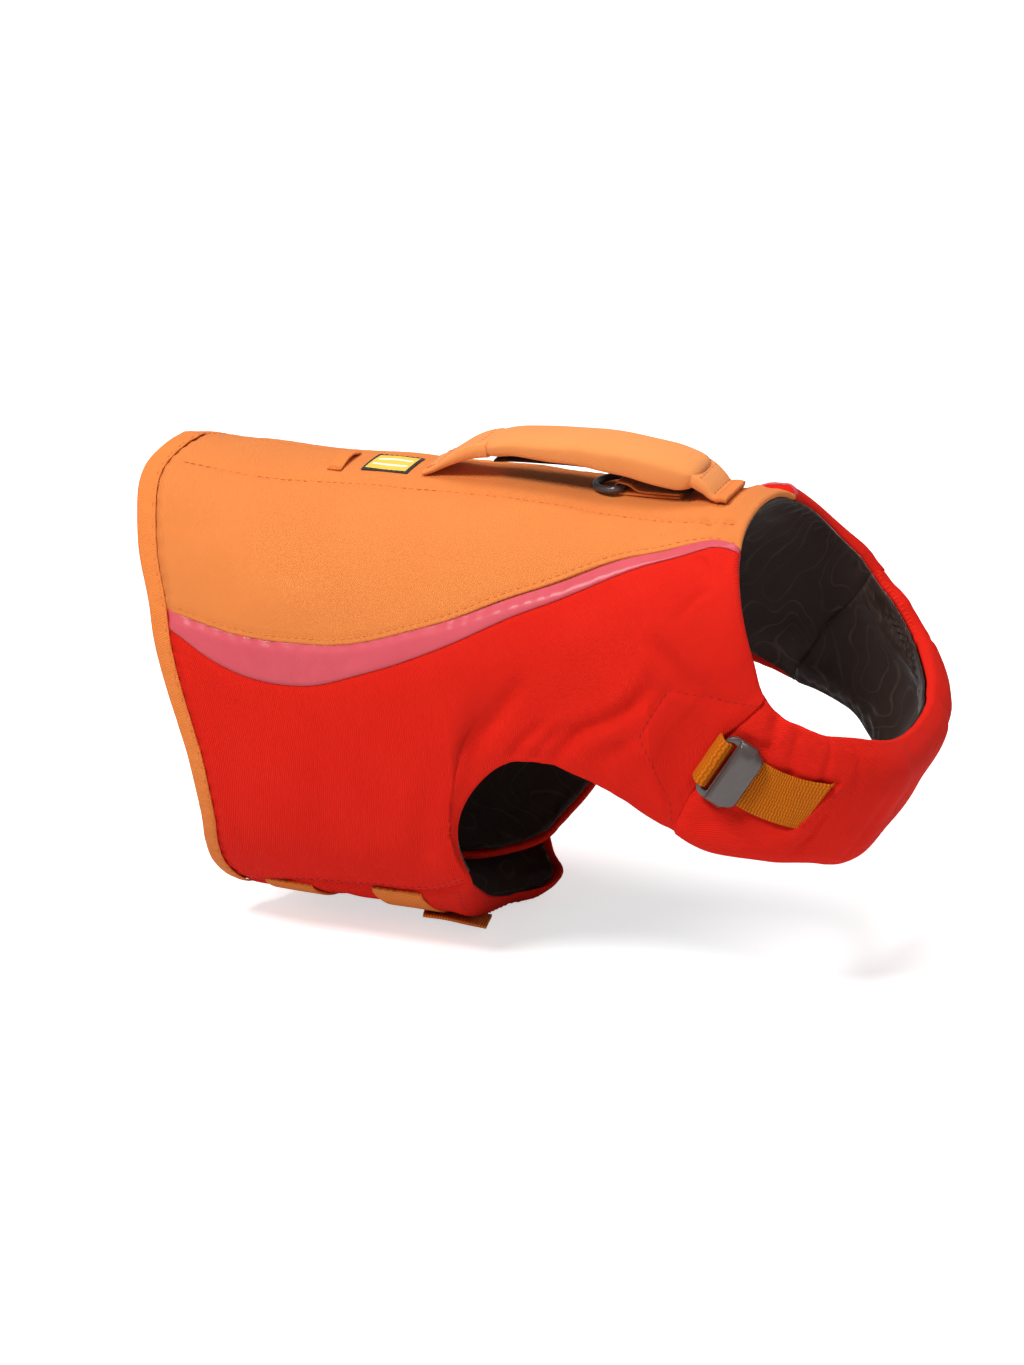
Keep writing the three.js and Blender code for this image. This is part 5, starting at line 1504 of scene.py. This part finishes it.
def select_only(piece):
    bpy.ops.object.select_all(action="DESELECT")
    piece.select_set(True)
    bpy.context.view_layer.objects.active = piece


def edit_all(piece):
    select_only(piece)
    bpy.ops.object.mode_set(mode="EDIT")
    bpy.ops.mesh.select_all(action="SELECT")


def pick(piece, test, mode="FACE"):
    """Leaves selected in edit mode only the faces, vertices or edges that pass the test."""
    bpy.ops.object.mode_set(mode="EDIT")
    bpy.ops.mesh.select_mode(type=mode)
    bpy.ops.mesh.select_all(action="DESELECT")
    bpy.ops.object.mode_set(mode="OBJECT")
    mesh = piece.data
    if mode == "FACE":
        for face in mesh.polygons:
            face.select = bool(test(face.center, face.normal))
    elif mode == "VERT":
        for corner in mesh.vertices:
            corner.select = bool(test(corner.co, corner.normal))
    else:
        for edge in mesh.edges:
            edge.select = bool(test(*(mesh.vertices[v].co for v in edge.vertices)))
    bpy.ops.object.mode_set(mode="EDIT")


def new_primitive(adder, name, **settings):
    bpy.ops.object.select_all(action="DESELECT")
    adder(**settings)
    piece = bpy.context.object
    piece.name = name
    bpy.ops.object.transform_apply(location=True, rotation=True, scale=True)
    return piece


def apply_modifier(piece, kind, **settings):
    select_only(piece)
    modifier = piece.modifiers.new(kind.lower(), kind)
    for key, value in settings.items():
        setattr(modifier, key, value)
    bpy.ops.object.modifier_apply(modifier=modifier.name)


def close_and_face_out(piece):
    edit_all(piece)
    bpy.ops.mesh.remove_doubles(threshold=0.00001)
    bpy.ops.mesh.normals_make_consistent(inside=False)
    bpy.ops.object.mode_set(mode="OBJECT")
    bpy.ops.object.shade_smooth_by_angle(angle=math.radians(50))


def settle(piece, body, nodes, slot, material):
    piece.data.materials.clear()
    piece.data.materials.append(material)
    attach(piece, body)
    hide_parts(*nodes)


def build_ring():
    corner, half = 3.0, 11.2
    start = (half - corner) * MM
    middle_x, bar = (BAR_X - corner) * MM, (BAR_X * MM, 0, BAR_Z * MM)
    ring = new_primitive(bpy.ops.mesh.primitive_circle_add, "leash_ring_wire", vertices=18, radius=WIRE * MM,
                         fill_type="NOTHING", location=(BAR_X * MM, -start, BAR_Z * MM),
                         rotation=(math.pi / 2, 0, 0))
    edit_all(ring)
    bpy.ops.mesh.extrude_region_move(TRANSFORM_OT_translate={"value": (0, 2 * start, 0)})
    for steps, angle, y in ((7, math.pi / 2, start), (30, math.pi, 0), (7, math.pi / 2, -start)):
        bpy.ops.mesh.spin(steps=steps, angle=angle, center=(middle_x, y, BAR_Z * MM), axis=(0, 0, -1))
    bpy.ops.mesh.select_all(action="SELECT")
    bpy.ops.mesh.remove_doubles(threshold=0.00005)
    bpy.ops.mesh.normals_make_consistent(inside=False)
    pick(ring, lambda place, normal: place.x < (BAR_X - 2.4) * MM, "VERT")
    bpy.ops.transform.rotate(value=math.radians(6), orient_axis="Y", center_override=bar)
    bpy.ops.object.mode_set(mode="OBJECT")
    bpy.ops.object.shade_smooth()
    settle(ring, "leash_ring", ["leash_ring"], "ring_metal", coated_metal)


build_ring()


def set_on(piece, spot, out, towards):
    """Moves a piece made flat at the origin, its length along X, on to the garment."""
    up = Vector(out).normalized()
    ahead = Vector(towards) - Vector(spot)
    ahead = (ahead - up * ahead.dot(up)).normalized()
    across = up.cross(ahead)
    frame_of = Matrix((ahead, across, up)).transposed().to_4x4()
    piece.data.transform(Matrix.Translation(Vector(spot) * MM) @ frame_of)
    piece.data.update()


def upright(a, b):
    return math.hypot(a.x - b.x, a.y - b.y) < 0.00001


def block(name, length, width, height, x, z):
    """A plain block of the sizes in mm, its middle at x and z, left open in edit mode."""
    piece = new_primitive(bpy.ops.mesh.primitive_cube_add, name, size=1)
    edit_all(piece)
    bpy.ops.transform.resize(value=(length * MM, width * MM, height * MM))
    bpy.ops.transform.translate(value=(x * MM, 0, z * MM))
    return piece


def sink(piece, thickness, depth, test):
    """Insets the faces that pass the test and pushes them in."""
    pick(piece, test)
    bpy.ops.mesh.inset(thickness=thickness * MM, depth=-depth * MM)


def soften(piece, width, segments, degrees):
    """Rounds the sharp edges and leaves the piece closed and facing outwards."""
    bpy.ops.object.mode_set(mode="OBJECT")
    apply_modifier(piece, "BEVEL", width=width * MM, segments=segments, limit_method="ANGLE",
                   angle_limit=math.radians(degrees))
    close_and_face_out(piece)


def rounded_plate(name, length, width, thickness, radius, middle=0.0, base=0.0):
    """A flat plate with rounded corners, its sizes in mm, its underside at the base height."""
    piece = block(name, length, width, thickness, middle, base + thickness / 2)
    pick(piece, upright, "EDGE")
    bpy.ops.mesh.bevel(offset=radius * MM, segments=7)
    bpy.ops.object.mode_set(mode="OBJECT")
    return piece


def slider_form(name):
    """A strap slider: a rounded plate with a slot, its front half swelling up into a smooth hood."""
    hood_start = -3.7 * MM
    piece = rounded_plate(name, 20, 33, 2.4, 5.4, base=0.4)
    bpy.ops.object.mode_set(mode="EDIT")
    bpy.ops.mesh.select_all(action="SELECT")
    bpy.ops.mesh.bisect(plane_co=(hood_start, 0, 0), plane_no=(1, 0, 0))
    pick(piece, lambda place, normal: normal.z > 0.9 and place.x > hood_start)
    for lift, long, wide, ahead in (
        (0.9, 0.975, 0.985, 0.0), (1.0, 0.94, 0.965, -0.1), (0.9, 0.88, 0.94, -0.2), (0.7, 0.78, 0.9, -0.2),
        (0.42, 0.66, 0.82, -0.1), (0.18, 0.5, 0.68, 0.0),
    ):
        bpy.ops.mesh.extrude_region_move(TRANSFORM_OT_translate={"value": (ahead * MM, 0, lift * MM)})
        bpy.ops.transform.resize(value=(long, wide, 1))
    pick(piece, lambda place, normal: place.x > 5.0 * MM, "VERT")
    bpy.ops.transform.resize(value=(1, 0.92, 1))
    bpy.ops.object.mode_set(mode="OBJECT")
    cutter = rounded_plate("slot_cutter", 3.6, 26.4, 12, 1.2, middle=-5.7, base=-3)
    apply_modifier(piece, "BOOLEAN", operation="DIFFERENCE", object=cutter, solver="EXACT")
    bpy.data.objects.remove(cutter)
    soften(piece, 0.35, 2, 38)
    return piece


def copy_of(piece, name):
    twin = piece.copy()
    twin.data = piece.data.copy()
    twin.name = name
    bpy.context.scene.collection.objects.link(twin)
    return twin


right_slider = slider_form("right_neck_slider_plate")
left_slider = copy_of(right_slider, "left_neck_slider_plate")
for piece, side, node in ((right_slider, -1, "right_neck_slider"), (left_slider, 1, "left_neck_slider")):
    spot, ahead, _, up = slider_frame(side)
    set_on(piece, spot, up, spot + ahead)
    settle(piece, "jacket", [node], "dark_plastic", plastic)


def socket_form(name):
    """A buckle's socket: a block with a crowned face, side windows and a strap bar end."""
    piece = block(name, 22, 33, 7.0, 0, 3.6)
    bpy.ops.mesh.subdivide(number_cuts=5)
    sink(piece, 1.2, 0.8, lambda place, normal: (
        normal.z > 0.9 and abs(place.y) < 11 * MM and -7 * MM < place.x < 6 * MM))
    sink(piece, 0.4, 2.2, lambda place, normal: (
        abs(normal.y) > 0.9 and -6 * MM < place.x < 2 * MM and 1.6 * MM < place.z < 5.6 * MM))
    sink(piece, 0.8, 1.6, lambda place, normal: (
        normal.z > 0.9 and place.x > 7.5 * MM and abs(place.y) < 13 * MM))
    pick(piece, lambda place, normal: place.x > 10.5 * MM, "VERT")
    bpy.ops.transform.resize(value=(1, 0.9, 0.8), center_override=(11 * MM, 0, 3.6 * MM))
    soften(piece, 0.6, 3, 35)
    return piece


def plug_form(name):
    """A buckle's plug: a bar with a raised lip and two shoulders."""
    piece = block(name, 11, 31, 5.4, 0, 2.8)
    bpy.ops.mesh.subdivide(number_cuts=4)
    sink(piece, 0.7, 1.4, lambda place, normal: (
        normal.z > 0.9 and place.x < -1 * MM and abs(place.y) < 13 * MM))
    pick(piece, lambda place, normal: place.x < -4.9 * MM, "VERT")
    bpy.ops.transform.resize(value=(1, 0.92, 0.72), center_override=(0, 0, 2.8 * MM))
    soften(piece, 0.6, 3, 35)
    return piece


rear_socket = socket_form("rear_buckle_socket_body")
front_socket = copy_of(rear_socket, "front_buckle_socket_body")
rear_plug = plug_form("rear_buckle_plug_body")
front_plug = copy_of(rear_plug, "front_buckle_plug_body")
for piece, x, turn, lift, node in (
    (rear_socket, REAR_STRAP_X, 0.502, 0.4, "rear_buckle_socket"),
    (front_socket, FRONT_STRAP_X, 0.502, 0.4, "front_buckle_socket"),
    (rear_plug, REAR_STRAP_X, 0.558, 1.4, "rear_buckle_plug"),
    (front_plug, FRONT_STRAP_X, 0.558, 1.4, "front_buckle_plug"),
):
    set_on(piece, lifted(x, turn, lift), outward(x, turn), skin(x, 0.3))
    settle(piece, "jacket", [node], "dark_plastic", plastic)

# Stitching.


def stitch_form():
    """One short stitch, 1 long and 1 wide, its ends sunk."""
    piece = new_primitive(bpy.ops.mesh.primitive_cylinder_add, "one_stitch", vertices=6, radius=0.5, depth=1,
                          rotation=(0, math.pi / 2, 0))
    edit_all(piece)
    bpy.ops.mesh.subdivide(number_cuts=1)
    pick(piece, lambda place, normal: abs(place.x) > 0.45, "VERT")
    bpy.ops.transform.resize(value=(1, 0.45, 0.45))
    bpy.ops.transform.translate(value=(0, 0, -0.35))
    bpy.ops.object.mode_set(mode="OBJECT")
    points = np.array([v.co[:] for v in piece.data.vertices])
    faces = [tuple(f.vertices) for f in piece.data.polygons]
    bpy.data.objects.remove(piece)
    return points, faces


STITCH_POINTS, STITCH_FACES = stitch_form()


def stitches(name, runs, material, slot, length=2.7, gap=1.0, width=0.55):
    """Rows of stitches; each run is (points on the cloth, outward directions) in mm."""
    all_points, all_faces = [], []
    for line, out in runs:
        line, out = np.asarray(line, float), unit(np.asarray(out, float))
        run = length_along(line)
        count = max(int(run[-1] / (length + gap)), 1)
        step = run[-1] / count
        for k in range(count):
            ends = np.array([k * step + gap / 2, (k + 1) * step - gap / 2])
            a, b = (np.array([np.interp(e, run, line[:, d]) for d in range(3)]) for e in ends)
            up = unit(np.array([np.interp(ends.mean(), run, out[:, d]) for d in range(3)]))
            ahead = b - a
            size = np.linalg.norm(ahead)
            ahead = ahead / max(size, 1e-6)
            across = unit(np.cross(up, ahead))
            up = np.cross(ahead, across)
            long, wide, high = (STITCH_POINTS[:, d:d + 1] for d in range(3))
            shape = (a + b) / 2 + long * size * ahead + wide * width * across + high * width * up
            start = sum(len(p) for p in all_points)
            all_points.append(shape)
            all_faces += [tuple(start + v for v in f) for f in STITCH_FACES]
    points = np.vstack(all_points)
    return add_piece(name, points, all_faces, points[:, :2], material, None, slot)


def on_panel(p, i, j):
    """A run of places on a panel's outer face, by fractional columns and rows."""
    out = unit(sample(p["out"], i, j))
    return sample(p["base"], i, j) + out * (sample(p["outer"], i, j) + STITCH_RISE)[..., None], out


def build_stitching():
    columns = np.arange(14, COLS - 4, dtype=float)
    runs = []
    for low in (True, False):
        rows = []
        for c in columns.astype(int):
            seam = back["seam"][c]
            order = seam[:60] if low else seam[::-1][:60]
            j = np.interp(2.6, order, np.arange(len(order)))
            rows.append(j if low else back["x"].shape[1] - 1 - j)
        runs.append(on_panel(back, columns, np.array(rows)))
    for side in (-1, 1):
        xs = np.linspace(-192, 77, 240)
        runs.append(panel_run(back, np.stack([xs, side * read(SPINE_ROW, 0, xs, 1)], -1)))
    stitches("yoke_stitching", runs, orange_thread, "orange_cloth")

    x, turn, tuck, height = binding
    runs = [(lifted(x + 7.9, turn, tuck + height + STITCH_RISE), outward(x + 7.9, turn))]
    stitches("binding_stitching", runs, orange_thread, "orange_cloth")

    runs = [panel_run(right, [(a, -b) for a, b in PATCH_RIGHT])]
    seam_line = along(BELLY_SEAM, np.linspace(0.075, 0.985, 120))
    for away in (2.2, 6.0):
        runs.append(panel_run(right, [(a, -(b - away / GIRTH_HALF)) for a, b in seam_line]))
    runs.append(panel_run(left, PATCH_LEFT))
    hem_line = along(HEM_LEFT, np.linspace(0.08, 0.98, 120))
    runs.append(panel_run(left, [(a, b - 5.5 / GIRTH_HALF) for a, b in hem_line]))
    stitches("side_stitching", runs, red_thread, "red_cloth")

    runs = []
    for edge in (BELLY_REAR, BELLY_FRONT):
        line = along(edge, np.linspace(0.04, 0.97, 150))
        inward = 6.0 if edge is BELLY_REAR else -6.0
        runs.append(panel_run(belly, [(a + inward, -b) for a, b in line]))
    line = along(BELLY_TOP_LEFT, np.linspace(0.05, 0.95, 60))
    runs.append(panel_run(belly, [(a, -(b - 6 / GIRTH_HALF)) for a, b in line]))
    across = np.linspace(-12.5, 12.5, 12)
    for side in (-1, 1):
        runs.append(panel_run(chest, on_side(strap_place(slit_at(across) + 2.2, across), side)))
    stitches("belly_and_chest_stitching", runs, red_thread, "red_cloth")

    def across_strap(part, station, inset=1.5, thickness=FOOT_WALL):
        centre, side, up, run = part
        k = int(np.argmin(np.abs(run - station)))
        reach = np.linspace(-1, 1, 24)[:, None] * (HANDLE_WIDTH / 2 - inset)
        return centre[k] + side[k] * reach + up[k] * (thickness + STITCH_RISE), np.repeat(up[k][None], 24, 0)

    def along_strap(part, first, last, offset):
        centre, side, up, run = part
        keep = (run >= first) & (run <= last)
        return centre[keep] + side[keep] * offset + up[keep] * (FOOT_WALL + STITCH_RISE), up[keep]

    runs = [across_strap(rear_foot, 1.8), across_strap(rear_foot, 9.0), across_strap(rear_foot, 31.5)]
    runs += [along_strap(rear_foot, 1.8, 9.0, s * 11.5) for s in (-1, 1)]
    runs += [across_strap(front_foot, 3.2), across_strap(front_foot, 12.4)]
    runs += [across_strap(fold_bar, 1.2, 1.0, FOLD_WALL)]
    stitches("handle_stitching", runs, orange_thread, "orange_cloth", length=2.4)

    label_run = [(-107.2, -0.0315), (-107.2, 0.0305), (-85.8, 0.0305), (-85.8, -0.0315), (-107.2, -0.0315)]
    path = []
    for (xa, ta), (xb, tb) in zip(label_run, label_run[1:]):
        path += [(xa + (xb - xa) * s, ta + (tb - ta) * s) for s in np.linspace(0, 1, 20)]
    px, pt = np.array(path).T
    runs = [(lifted(px, pt, 1.5), outward(px, pt))]
    stitches("label_stitching", runs, dark_thread, "label_cloth", length=1.8, gap=0.7, width=0.4)

    tack = []
    for t in (-0.038, 0.026):
        for dx in (-2.4, -1.2, 0, 1.2, 2.4):
            ends_x, ends_turn = np.array([-120 + dx, -120 + dx]), np.array([t - 0.005, t + 0.003])
            lift = 1.9 if t < 0 else 1.75
            tack.append((lifted(ends_x, ends_turn, lift), outward(ends_x, ends_turn)))
    stitches("loop_stitching", tack, orange_thread, "orange_cloth", length=2.2, gap=0.1, width=0.6)


build_stitching()

# Floor.

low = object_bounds()[0].z
bpy.ops.object.select_all(action="DESELECT")
bpy.ops.mesh.primitive_plane_add(size=60, location=(0, 0, low - 0.0005))
floor = bpy.context.object
floor.name = "pale_floor"
bpy.ops.object.transform_apply(location=True, rotation=True, scale=True)
floor.data.materials.append(pale_floor())
